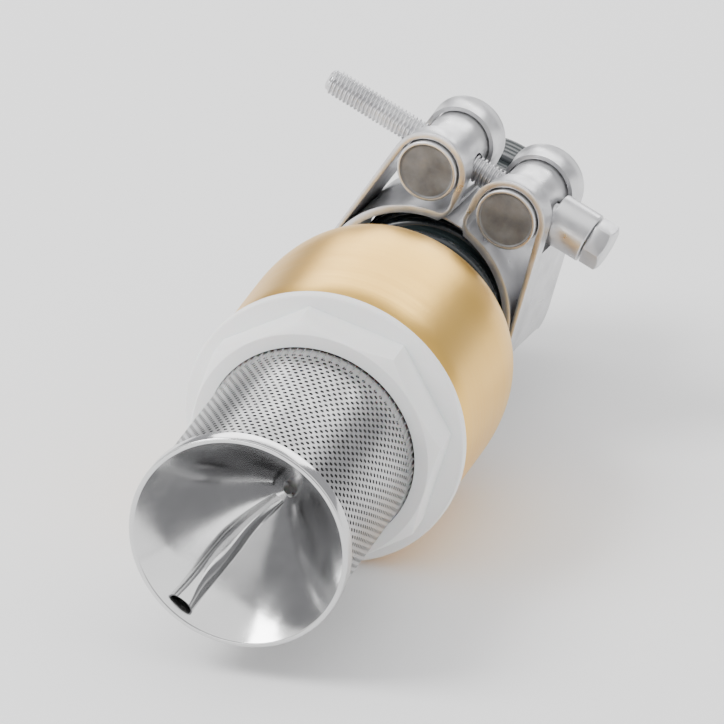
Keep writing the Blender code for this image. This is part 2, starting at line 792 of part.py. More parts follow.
def loop_path(side):
    """The band's end, up past the gap, over the trunnion and down tangent to the band."""
    centre = (TRUNNION_SPACING / 2, TRUNNION_HEIGHT)
    wrap = TRUNNION_RADIUS + GAP + BAND_SHEET / 2
    tail = band_middle + BAND_SHEET - WELD_OVERLAP
    reach = math.hypot(*centre)
    leave = math.atan2(centre[0], centre[1]) + math.acos((tail - wrap) / reach)
    gap_edge = centre[0] - wrap
    points = [(gap_edge, math.sqrt(band_middle**2 - gap_edge**2))]
    points += arc(centre, wrap, -math.pi / 2, leave, 14)
    points += arc((0.0, 0.0), tail, leave, leave + WELD_ARC, 3)
    return [(side * x, z) for x, z in points]


def build_band(axis):
    """Clamp band with a loop at each end, slotted so that the bolt can pass."""
    wrap = TRUNNION_RADIUS + GAP + BAND_SHEET / 2
    gap_angle = math.asin((TRUNNION_SPACING / 2 - wrap) / band_middle)
    ring = arc((0.0, 0.0), band_middle, gap_angle, 2 * math.pi - gap_angle, 44)
    band = new_object("clamp_band", strip(ring, BAND_SHEET, BAND_WIDTH), axis)
    slot_half = SPACER_RADIUS + GAP
    slot_low = TRUNNION_HEIGHT - slot_half
    slot_high = TRUNNION_HEIGHT + TRUNNION_RADIUS + 4 * BAND_SHEET
    for side, name in ((-1, "left"), (1, "right")):
        loop_shape = strip(loop_path(side), BAND_SHEET, BAND_WIDTH)
        combine(band, new_object(f"band_loop_{name}", loop_shape, axis), "UNION")
        reach = TRUNNION_SPACING + TRUNNION_RADIUS
        slot = box((min(0, side * reach), -slot_half, slot_low), (max(0, side * reach), slot_half, slot_high))
        combine(band, new_object(f"band_slot_{name}", slot, axis), "DIFFERENCE")
    finish(band, ZINC)


def build_bridge(axis):
    """Thin plate under the gap between the loops."""
    radius = bridge_inner + BRIDGE_SHEET / 2
    points = arc((0.0, 0.0), radius, -BRIDGE_HALF_ANGLE, BRIDGE_HALF_ANGLE, 10)
    finish(new_object("clamp_bridge", strip(points, BRIDGE_SHEET, BRIDGE_WIDTH), axis), ZINC)


def build_trunnion(name, side, bolt_axis):
    """Barrel that lies in a loop of the band, with a cross hole for the bolt."""
    half = TRUNNION_LENGTH / 2
    profile = [
        (0.0, -half),
        (TRUNNION_RADIUS - CHAMFER, -half),
        (TRUNNION_RADIUS, -half + CHAMFER),
        (TRUNNION_RADIUS, half - CHAMFER),
        (TRUNNION_RADIUS - CHAMFER, half),
        (0.0, half),
    ]
    place = (side * TRUNNION_SPACING / 2, 0.0, 0.0)
    trunnion = new_object(name, turned(profile, SMALL_SIDES), bolt_axis, location=place)
    hole = washer(0.0, BOLT_RADIUS + GAP, -TRUNNION_SPACING, TRUNNION_SPACING, SMALL_SIDES)
    along_bolt = (0.0, 0.0, -math.pi / 2)
    combine(trunnion, new_object(f"{name}_hole", hole, bolt_axis, along_bolt), "DIFFERENCE")
    finish(trunnion, ZINC)


def build_bolt(bolt_axis):
    """Bolt through both trunnions, with a spacer sleeve under its head."""
    along_bolt = (0.0, 0.0, -math.pi / 2)
    near = TRUNNION_SPACING / 2 + TRUNNION_RADIUS
    spacer_front = near + GAP
    spacer_rear = spacer_front + SPACER_LENGTH
    head_front = spacer_rear + GAP
    head_rear = head_front + BOLT_HEAD_HEIGHT
    tip = -near - BOLT_TAIL
    spacer = washer(BOLT_RADIUS + GAP, SPACER_RADIUS, spacer_front, spacer_rear, SMALL_SIDES)
    finish(new_object("clamp_spacer", spacer, bolt_axis, along_bolt), ZINC)
    shank = turned(
        [
            (0.0, tip),
            (BOLT_RADIUS - CHAMFER, tip),
            (BOLT_RADIUS, tip + CHAMFER),
            (BOLT_RADIUS, head_front + CHAMFER),
            (0.0, head_front + CHAMFER),
        ],
        SMALL_SIDES,
    )
    bolt = new_object("clamp_bolt", shank, bolt_axis, along_bolt)
    head = prism(BOLT_HEAD_FLATS, 6, head_front, head_rear)
    combine(bolt, new_object("bolt_hexagon", head, bolt_axis, along_bolt), "UNION")
    finish(bolt, ZINC)


clear_scene()
poppet_axis = axis_empty("poppet_axis", (0.0, seat, 0.0))
strainer_axis = axis_empty("strainer_axis", (0.0, adapter_seat, 0.0))
clamp_axis = axis_empty("clamp_axis", (0.0, clamp_middle, 0.0), CLAMP_ANGLE, CLAMP_SKEW)
bolt_axis = axis_empty("bolt_axis", (0.0, 0.0, TRUNNION_HEIGHT), parent=clamp_axis)

build_hose()
build_hose_spiral()
build_hose_tail()
build_tail_gasket()
build_body()
build_seat_bush()
build_o_ring()
build_guide_cage()
build_poppet(poppet_axis)
build_spring()
build_adapter(strainer_axis)
build_adapter_gasket()
build_tube(strainer_axis)
build_cone(strainer_axis)
build_band(clamp_axis)
build_bridge(clamp_axis)
build_trunnion("nut_trunnion", -1, bolt_axis)
build_trunnion("plain_trunnion", 1, bolt_axis)
build_bolt(bolt_axis)
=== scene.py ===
"""Foot valve for a suction hose, from the strainer at the front to the hose clamp at the back.

The valve lies along Y with the strainer towards -Y. Angles round it run from +Z towards +X.
"""

import math

import bmesh
import bpy
from mathutils import Matrix, Vector


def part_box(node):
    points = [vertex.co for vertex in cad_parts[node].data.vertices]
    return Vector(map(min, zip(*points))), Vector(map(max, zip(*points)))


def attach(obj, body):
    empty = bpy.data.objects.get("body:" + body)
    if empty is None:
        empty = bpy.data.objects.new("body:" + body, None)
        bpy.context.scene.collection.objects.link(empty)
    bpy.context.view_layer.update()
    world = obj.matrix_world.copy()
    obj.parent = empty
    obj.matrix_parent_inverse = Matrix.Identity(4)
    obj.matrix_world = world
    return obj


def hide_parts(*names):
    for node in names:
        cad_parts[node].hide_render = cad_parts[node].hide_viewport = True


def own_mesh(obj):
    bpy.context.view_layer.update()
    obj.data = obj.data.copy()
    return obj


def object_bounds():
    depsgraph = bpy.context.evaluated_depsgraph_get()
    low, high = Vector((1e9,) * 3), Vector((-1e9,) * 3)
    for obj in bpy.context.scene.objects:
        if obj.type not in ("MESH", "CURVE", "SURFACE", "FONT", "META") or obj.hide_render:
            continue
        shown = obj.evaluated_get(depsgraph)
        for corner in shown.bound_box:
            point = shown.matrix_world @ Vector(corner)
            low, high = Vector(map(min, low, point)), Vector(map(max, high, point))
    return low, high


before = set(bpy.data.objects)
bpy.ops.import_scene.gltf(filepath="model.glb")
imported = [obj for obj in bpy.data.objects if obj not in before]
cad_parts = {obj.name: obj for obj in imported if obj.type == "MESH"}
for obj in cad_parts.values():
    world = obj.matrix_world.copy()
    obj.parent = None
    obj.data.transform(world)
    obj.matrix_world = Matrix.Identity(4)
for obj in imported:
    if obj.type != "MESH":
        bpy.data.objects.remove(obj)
cad_box = [[float(value) for value in corner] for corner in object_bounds()]
MM = 0.001
GAP = 0.3 * MM  # between pieces that touch on the real valve

# ---- camera ----
# It stands in front of the strainer, a little to the right of the valve's axis and above it. It is
# far off behind a long lens, and aims between the strainer's rim and the clamp.
CAMERA_DISTANCE = 2.0
CAMERA_LENS = 568.0
AIM_RIGHT = 21.8 * MM  # from the middle of the strainer's rim
AIM_UP = 31.8 * MM
camera_right = Vector((0.9527, 0.3040, 0.0))
camera_up = Vector((-0.1285, 0.4026, 0.9063))
camera_back = Vector((0.2755, -0.8634, 0.4226))
rim_centre = Vector((0.0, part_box("strainer_cone")[0][1], 0.0))
camera_target = rim_centre + camera_right * AIM_RIGHT + camera_up * AIM_UP
bpy.ops.object.select_all(action="DESELECT")
bpy.ops.object.camera_add(location=camera_target + camera_back * CAMERA_DISTANCE)
camera = bpy.context.object
camera.rotation_euler = Matrix((camera_right, camera_up, camera_back)).transposed().to_euler()
camera.data.lens = CAMERA_LENS
camera.data.clip_end = 10.0
bpy.context.scene.camera = camera

# ---- strainer tube ----
# A tube rolled from stainless sheet with fine holes in staggered rows. Its rear end is held in
# the adapter's groove, and a plain margin is left at each end.
TUBE_RADIUS = 19.3 * MM
TUBE_SHEET = 0.6 * MM
HOLES_ROUND = 88
HOLE_RADIUS = 0.41 * MM
RIM_SETBACK = 1.9 * MM
MARGIN_FRONT = 3.6 * MM
MARGIN_REAR = 5.2 * MM
HOLE_MERGE = 0.01 * MM  # points of two rows that are nearer than this are one
SAME_POINT = 0.001 * MM


def select_none():
    bpy.ops.object.select_all(action="DESELECT")


def added(name):
    """The primitive just added, under its own name."""
    piece = bpy.context.object
    piece.name = name
    piece.data.name = name
    return piece


def apply_modifier(piece, kind, **settings):
    """Add one modifier with its settings and apply it."""
    bpy.context.view_layer.objects.active = piece
    modifier = piece.modifiers.new(kind.lower(), kind)
    for setting, value in settings.items():
        setattr(modifier, setting, value)
    bpy.ops.object.modifier_apply(modifier=modifier.name)


def edit(piece, *steps):
    """Run edit-mode steps on the whole of a piece."""
    select_none()
    piece.select_set(True)
    bpy.context.view_layer.objects.active = piece
    bpy.ops.object.mode_set(mode="EDIT")
    bpy.ops.mesh.select_all(action="SELECT")
    for step in steps:
        step()
    bpy.ops.object.mode_set(mode="OBJECT")


def merge_doubles():
    bpy.ops.mesh.remove_doubles(threshold=SAME_POINT)


def turn_faces_out():
    bpy.ops.mesh.normals_make_consistent(inside=False)


def smooth(piece, angle=30.0):
    """Smooth shading except over edges sharper than the angle."""
    select_none()
    piece.select_set(True)
    bpy.context.view_layer.objects.active = piece
    bpy.ops.object.shade_smooth_by_angle(angle=math.radians(angle))


def new_material(name, colour, roughness, metallic=0.0, **sockets):
    """A Principled material, with its shader's plain values set on the shader itself."""
    material = bpy.data.materials.new(name)
    material.use_nodes = True
    shader = material.node_tree.nodes["Principled BSDF"]
    shader.inputs["Base Color"].default_value = (*colour, 1.0)
    shader.inputs["Roughness"].default_value = roughness
    shader.inputs["Metallic"].default_value = metallic
    for socket, value in sockets.items():
        shader.inputs[socket.replace("_", " ")].default_value = value
    return material


def noise(material, scale, stretch=(1.0, 1.0, 1.0), detail=4.0):
    """Noise in the piece's own space; stretch is how much finer the pattern is along X, Y and Z."""
    tree = material.node_tree
    place = tree.nodes.new("ShaderNodeTexCoord")
    mapping = tree.nodes.new("ShaderNodeMapping")
    mapping.inputs["Scale"].default_value = stretch
    pattern = tree.nodes.new("ShaderNodeTexNoise")
    pattern.inputs["Scale"].default_value = scale
    pattern.inputs["Detail"].default_value = detail
    tree.links.new(place.outputs["Object"], mapping.inputs["Vector"])
    tree.links.new(mapping.outputs["Vector"], pattern.inputs["Vector"])
    return pattern.outputs["Fac"]


def tint(material, pattern, *stops):
    """Colour the surface from a pattern through (place, colour) stops."""
    tree = material.node_tree
    ramp = tree.nodes.new("ShaderNodeValToRGB")
    ramp.color_ramp.elements[0].position = stops[0][0]
    ramp.color_ramp.elements[0].color = (*stops[0][1], 1.0)
    ramp.color_ramp.elements[1].position = stops[-1][0]
    ramp.color_ramp.elements[1].color = (*stops[-1][1], 1.0)
    for place, colour in stops[1:-1]:
        stop = ramp.color_ramp.elements.new(place)
        stop.color = (*colour, 1.0)
    shader = tree.nodes["Principled BSDF"]
    tree.links.new(pattern, ramp.inputs["Fac"])
    tree.links.new(ramp.outputs["Color"], shader.inputs["Base Color"])


def dull(material, pattern, low, high):
    """Let roughness run from low to high with a pattern."""
    tree = material.node_tree
    spread = tree.nodes.new("ShaderNodeMapRange")
    spread.inputs["From Min"].default_value = 0.3
    spread.inputs["From Max"].default_value = 0.7
    spread.inputs["To Min"].default_value = low
    spread.inputs["To Max"].default_value = high
    tree.links.new(pattern, spread.inputs["Value"])
    tree.links.new(spread.outputs["Result"], tree.nodes["Principled BSDF"].inputs["Roughness"])


def bump(material, *layers):
    """Raise the surface by (pattern, depth) layers, one on another."""
    tree = material.node_tree
    before = None
    for pattern, depth in layers:
        raised = tree.nodes.new("ShaderNodeBump")
        raised.inputs["Strength"].default_value = 1.0
        raised.inputs["Distance"].default_value = depth
        tree.links.new(pattern, raised.inputs["Height"])
        if before:
            tree.links.new(before, raised.inputs["Normal"])
        before = raised.outputs["Normal"]
    tree.links.new(before, tree.nodes["Principled BSDF"].inputs["Normal"])


def dress(piece, material, body, slot, *replaced):
    """Give a finished piece its material and say what it rides on and stands for."""
    piece.data.materials.clear()
    piece.data.materials.append(material)
    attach(piece, body)
    if replaced:
        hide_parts(*replaced)


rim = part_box("strainer_cone")[0][1]
tube_front = rim + RIM_SETBACK
tube_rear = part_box("strainer_tube")[1][1]
hole_pitch = 2 * math.pi * TUBE_RADIUS / HOLES_ROUND
cell_radius = hole_pitch / math.sqrt(3)
row_pitch = 1.5 * cell_radius
holes_start = rim + MARGIN_FRONT
row_pairs = int((tube_rear - MARGIN_REAR - holes_start) / (2 * row_pitch))

select_none()
bpy.ops.mesh.primitive_circle_add(vertices=6, radius=cell_radius, fill_type="NGON")
tube = added("strainer_tube_perforated")
bpy.ops.object.transform_apply(location=True, rotation=True, scale=True)


def punch_hole():
    inset = (cell_radius - HOLE_RADIUS) * math.cos(math.pi / 6)
    bpy.ops.mesh.inset(thickness=inset, depth=0.0)
    bpy.ops.mesh.delete(type="FACE")


def add_staggered_row():
    bpy.ops.mesh.select_all(action="SELECT")
    bpy.ops.mesh.duplicate_move(
        TRANSFORM_OT_translate={"value": (hole_pitch / 2, row_pitch, 0.0)}
    )
    bpy.ops.mesh.select_all(action="SELECT")
    bpy.ops.mesh.remove_doubles(threshold=HOLE_MERGE)


edit(tube, punch_hole, add_staggered_row)
for count, step in ((HOLES_ROUND, (hole_pitch, 0.0, 0.0)), (row_pairs, (0.0, 2 * row_pitch, 0.0))):
    apply_modifier(
        tube,
        "ARRAY",
        count=count,
        use_relative_offset=False,
        use_constant_offset=True,
        constant_offset_displace=step,
        use_merge_vertices=True,
        merge_threshold=HOLE_MERGE,
    )
for vertex in tube.data.vertices:
    turn = vertex.co.x / TUBE_RADIUS
    vertex.co = (
        TUBE_RADIUS * math.sin(turn),
        holes_start + vertex.co.y,
        TUBE_RADIUS * math.cos(turn),
    )
edit(tube, lambda: bpy.ops.mesh.remove_doubles(threshold=HOLE_MERGE), turn_faces_out)


def draw_margins():
    """Draw each zigzag end out to a straight edge."""
    shape = bmesh.from_edit_mesh(tube.data)
    for end, edge_y in ((1, tube_rear), (-1, tube_front)):
        outer = max(vertex.co.y * end for vertex in shape.verts)
        bpy.ops.mesh.select_all(action="DESELECT")
        for edge in shape.edges:
            near = all(vertex.co.y * end > outer - cell_radius for vertex in edge.verts)
            edge.select_set(edge.is_boundary and near)
        bpy.ops.mesh.extrude_edges_move(TRANSFORM_OT_translate={"value": (0.0, end * MM, 0.0)})
        shape = bmesh.from_edit_mesh(tube.data)
        for vertex in shape.verts:
            if vertex.select:
                vertex.co.y = edge_y
    bmesh.update_edit_mesh(tube.data)


edit(tube, draw_margins)
apply_modifier(tube, "SOLIDIFY", thickness=TUBE_SHEET, offset=-1.0)
smooth(tube, 40.0)
tube_steel = new_material("perforated_sheet", (0.46, 0.46, 0.46), 0.34, 1.0)
tint(tube_steel, noise(tube_steel, 60.0), (0.35, (0.40, 0.40, 0.40)), (0.65, (0.52, 0.52, 0.52)))
dull(tube_steel, noise(tube_steel, 300.0, (1.0, 0.2, 1.0)), 0.26, 0.40)
bump(tube_steel, (noise(tube_steel, 900.0, (1.0, 0.15, 1.0)), 0.012 * MM))
dress(tube, tube_steel, "strainer", "perforated_stainless", "strainer_tube")

# ---- strainer cone ----
# A polished sheet cone sunk into the tube's mouth, with its edge rolled over the tube. The slack
# of the sheet is folded into one hollow seam that runs from the tip nearly to the rim.
CONE_MOUTH_RADIUS = 19.35 * MM
CONE_TIP_RADIUS = 0.9 * MM
TIP_SHIFT = (1.2 * MM, -1.5 * MM)
TIP_REACH = 8.0 * MM
CONE_SHEET = 0.35 * MM
CONE_ANGLE = math.radians(35.6)
LIP_RADIUS = 20.2 * MM
LIP_INNER = 19.5 * MM
LIP_LENGTH = 2.9 * MM
LIP_SHEET = 0.7 * MM
SEAM_ANGLE = math.radians(218.0)
SEAM_WIDTH = 4.3 * MM
SEAM_MOUTH_WIDTH = 5.0 * MM
SEAM_TIP_WIDTH = 2.2 * MM
SEAM_HEIGHT = 2.7 * MM
SEAM_TIP_HEIGHT = 0.35  # share of its height that it has at the tip
SEAM_SETBACK = 1.0 * MM  # from the tip's edge
SEAM_END = 0.94  # share of the mouth's radius
SEAM_GROWN = 0.45  # share of its length by which it is full
SEAM_FLARE = 0.7  # share of its length from which it widens to the mouth
SEAM_LEAN = 0.30
SEAM_SINK = 0.1 * MM
SEAM_WOBBLE = 0.10 * MM
SEAM_SHEET = 0.3 * MM
SEAM_ALONG = 24
SEAM_ACROSS = 14


def turned(name, outline, steps=96):
    """Turn a closed outline of (radius, y) about the valve's axis, as on a lathe."""
    select_none()
    bpy.ops.mesh.primitive_circle_add(vertices=len(outline), radius=MM)
    piece = added(name)
    for vertex, (radius, y) in zip(piece.data.vertices, outline):
        vertex.co = (0.0, y, radius)

    def spin_round():
        bpy.ops.mesh.spin(
            steps=steps, angle=2 * math.pi, center=(0.0, 0.0, 0.0), axis=(0.0, 1.0, 0.0)
        )
        bpy.ops.mesh.select_all(action="SELECT")
        merge_doubles()
        bpy.ops.mesh.dissolve_degenerate(threshold=SAME_POINT / 10)
        bpy.ops.mesh.delete_loose(use_verts=True, use_edges=True, use_faces=False)
        bpy.ops.mesh.select_all(action="SELECT")
        turn_faces_out()

    edit(piece, spin_round)
    return piece


def rounded(corners, radius, steps=4):
    """Round an outline's corners; each is (radius, y) or (radius, y, its own rounding)."""
    outline = []
    for index, corner in enumerate(corners):
        here = Vector(corner[:2])
        before = Vector(corners[index - 1][:2]) - here
        after = Vector(corners[(index + 1) % len(corners)][:2]) - here
        wanted = corner[2] if len(corner) > 2 else radius
        cut = min(wanted, before.length * 0.45, after.length * 0.45)
        if cut < 0.01 * MM:
            outline.append(tuple(here))
            continue
        start = here + before.normalized() * cut
        end = here + after.normalized() * cut
        for step in range(steps + 1):
            share = step / steps
            point = start * (1 - share) ** 2 + here * 2 * share * (1 - share) + end * share**2
            outline.append(tuple(point))
    return outline


cone_slope = math.tan(CONE_ANGLE)
sheet_across = CONE_SHEET / math.cos(CONE_ANGLE)


def cone_depth(radius):
    return rim + (CONE_MOUTH_RADIUS - radius) / cone_slope


def pull_tip(place):
    """Draw the cone's tip off its axis, as the folded sheet does."""
    near = max(0.0, 1.0 - math.hypot(place[0], place[2]) / TIP_REACH) ** 2
    return (place[0] + TIP_SHIFT[0] * near, place[1], place[2] + TIP_SHIFT[1] * near)


wall_steps = (0.12, 0.18, 0.25, 0.33, 0.42, 0.7)
cone_corners = [(CONE_TIP_RADIUS, cone_depth(CONE_TIP_RADIUS), 0.0)]
cone_corners += [
    (CONE_MOUTH_RADIUS * share, cone_depth(CONE_MOUTH_RADIUS * share), 0.0) for share in wall_steps
]
cone_corners += [
    (CONE_MOUTH_RADIUS, rim, 0.2 * MM),
    (LIP_RADIUS, rim, 0.4 * MM),
    (LIP_RADIUS, rim + LIP_LENGTH, 0.15 * MM),
    (LIP_INNER, rim + LIP_LENGTH, 0.15 * MM),
    (LIP_INNER, rim + LIP_SHEET, 0.1 * MM),
    (CONE_MOUTH_RADIUS + sheet_across - LIP_SHEET * cone_slope, rim + LIP_SHEET, 0.1 * MM),
]
cone_corners += [
    (CONE_MOUTH_RADIUS * share + sheet_across, cone_depth(CONE_MOUTH_RADIUS * share), 0.0)
    for share in reversed(wall_steps)
]
cone_corners.append((CONE_TIP_RADIUS + sheet_across, cone_depth(CONE_TIP_RADIUS), 0.0))
cone = turned("strainer_cone_sheet", rounded(cone_corners, 0.0), 128)
for vertex in cone.data.vertices:
    vertex.co = pull_tip(vertex.co)
smooth(cone, 35.0)

select_none()
bpy.ops.mesh.primitive_grid_add(x_subdivisions=SEAM_ALONG, y_subdivisions=SEAM_ACROSS, size=1.0)
seam = added("strainer_cone_seam")
off_cone = Vector((-math.cos(CONE_ANGLE), -math.sin(CONE_ANGLE)))
seam_start = CONE_TIP_RADIUS + SEAM_SETBACK
seam_end = CONE_MOUTH_RADIUS * SEAM_END
for vertex in seam.data.vertices:
    share = vertex.co.x + 0.5
    across = (vertex.co.y + 0.5) * math.pi
    radius = seam_start + (seam_end - seam_start) * share
    grown = min(1.0, share / SEAM_GROWN)
    flared = max(0.0, (share - SEAM_FLARE) / (1 - SEAM_FLARE)) ** 2
    width = SEAM_TIP_WIDTH + (SEAM_WIDTH - SEAM_TIP_WIDTH) * grown
    width += (SEAM_MOUTH_WIDTH - SEAM_WIDTH) * flared
    risen = SEAM_TIP_HEIGHT + (1 - SEAM_TIP_HEIGHT) * math.sin(grown * math.pi / 2)
    height = SEAM_HEIGHT * risen
    lean = SEAM_LEAN * height * math.sin(across) * math.sin(share * math.pi)
    side = -math.cos(across) * width / 2 + lean
    lift = (abs(math.sin(across)) ** 0.75) * height - SEAM_SINK
    wobble = SEAM_WOBBLE * math.sin(share * 11.0 + across * 3.0)
    r = radius + off_cone.x * (lift + wobble)
    y = cone_depth(radius) + off_cone.y * (lift + wobble)
    vertex.co = pull_tip(
        (
            r * math.sin(SEAM_ANGLE) + side * math.cos(SEAM_ANGLE),
            y,
            r * math.cos(SEAM_ANGLE) - side * math.sin(SEAM_ANGLE),
        )
    )
edit(seam, turn_faces_out)
apply_modifier(seam, "SOLIDIFY", thickness=SEAM_SHEET, offset=-1.0)
smooth(seam, 50.0)
polished = new_material("polished_sheet", (0.62, 0.62, 0.62), 0.12, 1.0)
tint(polished, noise(polished, 45.0), (0.3, (0.57, 0.57, 0.57)), (0.7, (0.66, 0.66, 0.66)))
dull(polished, noise(polished, 160.0, (1.0, 1.0, 1.0), 8.0), 0.10, 0.20)
bump(
    polished,
    (noise(polished, 120.0), 0.03 * MM),
    (noise(polished, 1500.0, (1.0, 0.1, 1.0)), 0.002 * MM),
)
dress(cone, polished, "strainer", "polished_stainless", "strainer_cone")
dress(seam, polished, "strainer", "polished_stainless")

# ---- strainer adapter ----
# Moulded off-white nylon: an octagon for the spanner with the tube's groove in its front, a round
# flange that closes on the body, and a G1 spigot that screws into the seat bush.
OCTAGON_FLATS = 44.5 * MM
OCTAGON_ANGLE = math.radians(16.5)
OCTAGON_LENGTH = 8.0 * MM
OCTAGON_CHAMFER = 2.3 * MM
OCTAGON_EDGE = 0.45 * MM
FLANGE_RADIUS = 26.2 * MM
FLANGE_THICKNESS = 2.2 * MM
SPIGOT_CORE = 15.2 * MM
SPIGOT_CREST = 16.55 * MM
SPIGOT_BORE = 13.5 * MM
GROOVE_INNER = 18.4 * MM
GROOVE_OUTER = 19.6 * MM
GROOVE_DEPTH = 5.3 * MM
G1_PITCH = 2.309 * MM
SPIGOT_PLAIN = 2.0 * MM  # left unthreaded behind the flange
SPIGOT_SPARE = 2.5 * MM  # length that no turn of thread fills
SLIVER = 0.01 * MM  # a face thinner than this is left out after a cut


def cut(piece, *tools, operation="DIFFERENCE"):
    """Cut, join or intersect a piece with tools, which are then thrown away."""
    for tool in tools:
        apply_modifier(piece, "BOOLEAN", object=tool, operation=operation, solver="EXACT")
        bpy.data.objects.remove(tool, do_unlink=True)
    edit(piece, merge_doubles, lambda: bpy.ops.mesh.dissolve_degenerate(threshold=SLIVER))


def ring(name, inner, outer, front, rear, rounding=0.0, steps=96):
    """A turned ring between two radii and two places along the axis."""
    corners = [(inner, front), (outer, front), (outer, rear), (inner, rear)]
    return turned(name, rounded(corners, rounding), steps)


def bar(name, flats, sides, front, rear, angle=0.0):
    """A flat-sided bar along Y, one flat facing the angle."""
    select_none()
    bpy.ops.mesh.primitive_cylinder_add(
        vertices=sides,
        radius=flats / 2 / math.cos(math.pi / sides),
        depth=rear - front,
        location=(0.0, (front + rear) / 2, 0.0),
        rotation=(math.pi / 2, 0.0, 0.0),
    )
    piece = added(name)
    bpy.ops.object.transform_apply(location=True, rotation=True, scale=True)
    piece.data.transform(Matrix.Rotation(angle + math.pi / sides, 4, "Y"))
    return piece


def ease_edges(piece, width, angle, segments=2):
    """Bevel the edges that are sharper than the angle."""
    apply_modifier(
        piece,
        "BEVEL",
        width=width,
        segments=segments,
        limit_method="ANGLE",
        angle_limit=math.radians(angle),
    )


def wound(name, section, pitch, turns, steps):
    """Wind a closed section of (radius, y) round the valve's axis, and close its ends."""
    select_none()
    bpy.ops.mesh.primitive_circle_add(vertices=len(section), radius=MM)
    piece = added(name)
    for vertex, (radius, y) in zip(piece.data.vertices, section):
        vertex.co = (0.0, y, radius)
    apply_modifier(
        piece,
        "SCREW",
        axis="Y",
        angle=2 * math.pi,
        screw_offset=pitch,
        iterations=turns,
        steps=steps,
        render_steps=steps,
        use_normal_calculate=True,
    )
    end_sides = len(section) + 2
    edit(piece, merge_doubles, lambda: bpy.ops.mesh.fill_holes(sides=end_sides), turn_faces_out)
    return piece


def thread(name, core, crest, pitch, start, turns, steps=48):
    """A thread's solid ridge; its profile is given in shares of the pitch."""
    profile = ((core, 0.02), (crest, 0.38), (crest, 0.62), (core, 0.98))
    section = [(radius, start + pitch * (share - 0.5)) for radius, share in profile]
    return wound(name, section, pitch, turns, steps)


def joined(piece, *others):
    """Put other pieces' meshes into this piece."""
    select_none()
    for other in others:
        other.select_set(True)
    piece.select_set(True)
    bpy.context.view_layer.objects.active = piece
    bpy.ops.object.join()
    return piece


adapter_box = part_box("strainer_adapter")
octagon_front = adapter_box[0][1]
flange_front = octagon_front + OCTAGON_LENGTH
flange_rear = flange_front + FLANGE_THICKNESS
spigot_rear = adapter_box[1][1]
adapter = bar(
    "strainer_adapter_moulding",
    OCTAGON_FLATS,
    8,
    octagon_front,
    flange_front + MM,
    OCTAGON_ANGLE,
)
corner_radius = OCTAGON_FLATS / 2 / math.cos(math.pi / 8)
chamfer_tool = turned(
    "chamfer_tool",
    [
        (0.0, octagon_front - MM),
        (corner_radius - OCTAGON_CHAMFER - MM, octagon_front - MM),
        (corner_radius + MM, octagon_front + OCTAGON_CHAMFER),
        (corner_radius + MM, flange_rear),
        (0.0, flange_rear),
    ],
)
cut(adapter, chamfer_tool, operation="INTERSECT")
ease_edges(adapter, OCTAGON_EDGE, 12, segments=3)
socket_bore = ring("socket_bore", 0.0, SPIGOT_BORE, octagon_front - MM, flange_rear)
groove_floor = octagon_front + GROOVE_DEPTH
groove = ring("tube_groove", GROOVE_INNER, GROOVE_OUTER, octagon_front - MM, groove_floor)
cut(adapter, socket_bore, groove)
flange = turned(
    "adapter_flange",
    rounded(
        [
            (SPIGOT_BORE, flange_front, 0.0),
            (FLANGE_RADIUS, flange_front, 0.6 * MM),
            (FLANGE_RADIUS, flange_rear, 0.5 * MM),
            (SPIGOT_CORE, flange_rear, 0.2 * MM),
            (SPIGOT_CORE, spigot_rear, 0.5 * MM),
            (SPIGOT_BORE, spigot_rear, 0.3 * MM),
        ],
        0.0,
    ),
    128,
)
spigot_turns = int((spigot_rear - flange_rear - SPIGOT_SPARE) / G1_PITCH)
spigot_thread = thread(
    "adapter_thread",
    SPIGOT_CORE - 0.1 * MM,
    SPIGOT_CREST,
    G1_PITCH,
    flange_rear + SPIGOT_PLAIN,
    spigot_turns,
)
joined(adapter, flange, spigot_thread)
smooth(adapter, 28.0)
nylon = new_material(
    "off_white_nylon", (0.90, 0.90, 0.89), 0.40, Subsurface_Weight=0.12, Subsurface_Scale=0.002
)
tint(nylon, noise(nylon, 55.0), (0.3, (0.87, 0.87, 0.86)), (0.7, (0.92, 0.92, 0.91)))
dull(nylon, noise(nylon, 220.0), 0.36, 0.50)
bump(nylon, (noise(nylon, 160.0), 0.04 * MM), (noise(nylon, 2500.0, detail=2.0), 0.004 * MM))
dress(adapter, nylon, "strainer", "white_nylon", "strainer_adapter")

# ---- valve body ----
# A brass casting, turned all over to a satin finish: a straight barrel with a long rounded
# shoulder, bored for the seat bush in front and threaded for the hose tail behind.
BODY_FRONT_RADIUS = 25.2 * MM
BODY_BELLY = 0.2 * MM
BODY_REAR_RADIUS = 22.7 * MM
BODY_EDGE = 0.5 * MM
SHOULDER_LENGTH = 12.0 * MM
SHOULDER_STEPS = 14
BUSH_POCKET = 20.8 * MM
LEDGE_RADIUS = 18.5 * MM
LEDGE_THICKNESS = 1.6 * MM
CHAMBER_RADIUS = 21.9 * MM
CHAMBER_SLOPE = 2.4 * MM
CAGE_POCKET = 18.5 * MM
CAGE_POCKET_DEPTH = 2.6 * MM
TAIL_THREAD_BORE = 16.9 * MM
TAIL_THREAD_DEPTH = 6.5 * MM

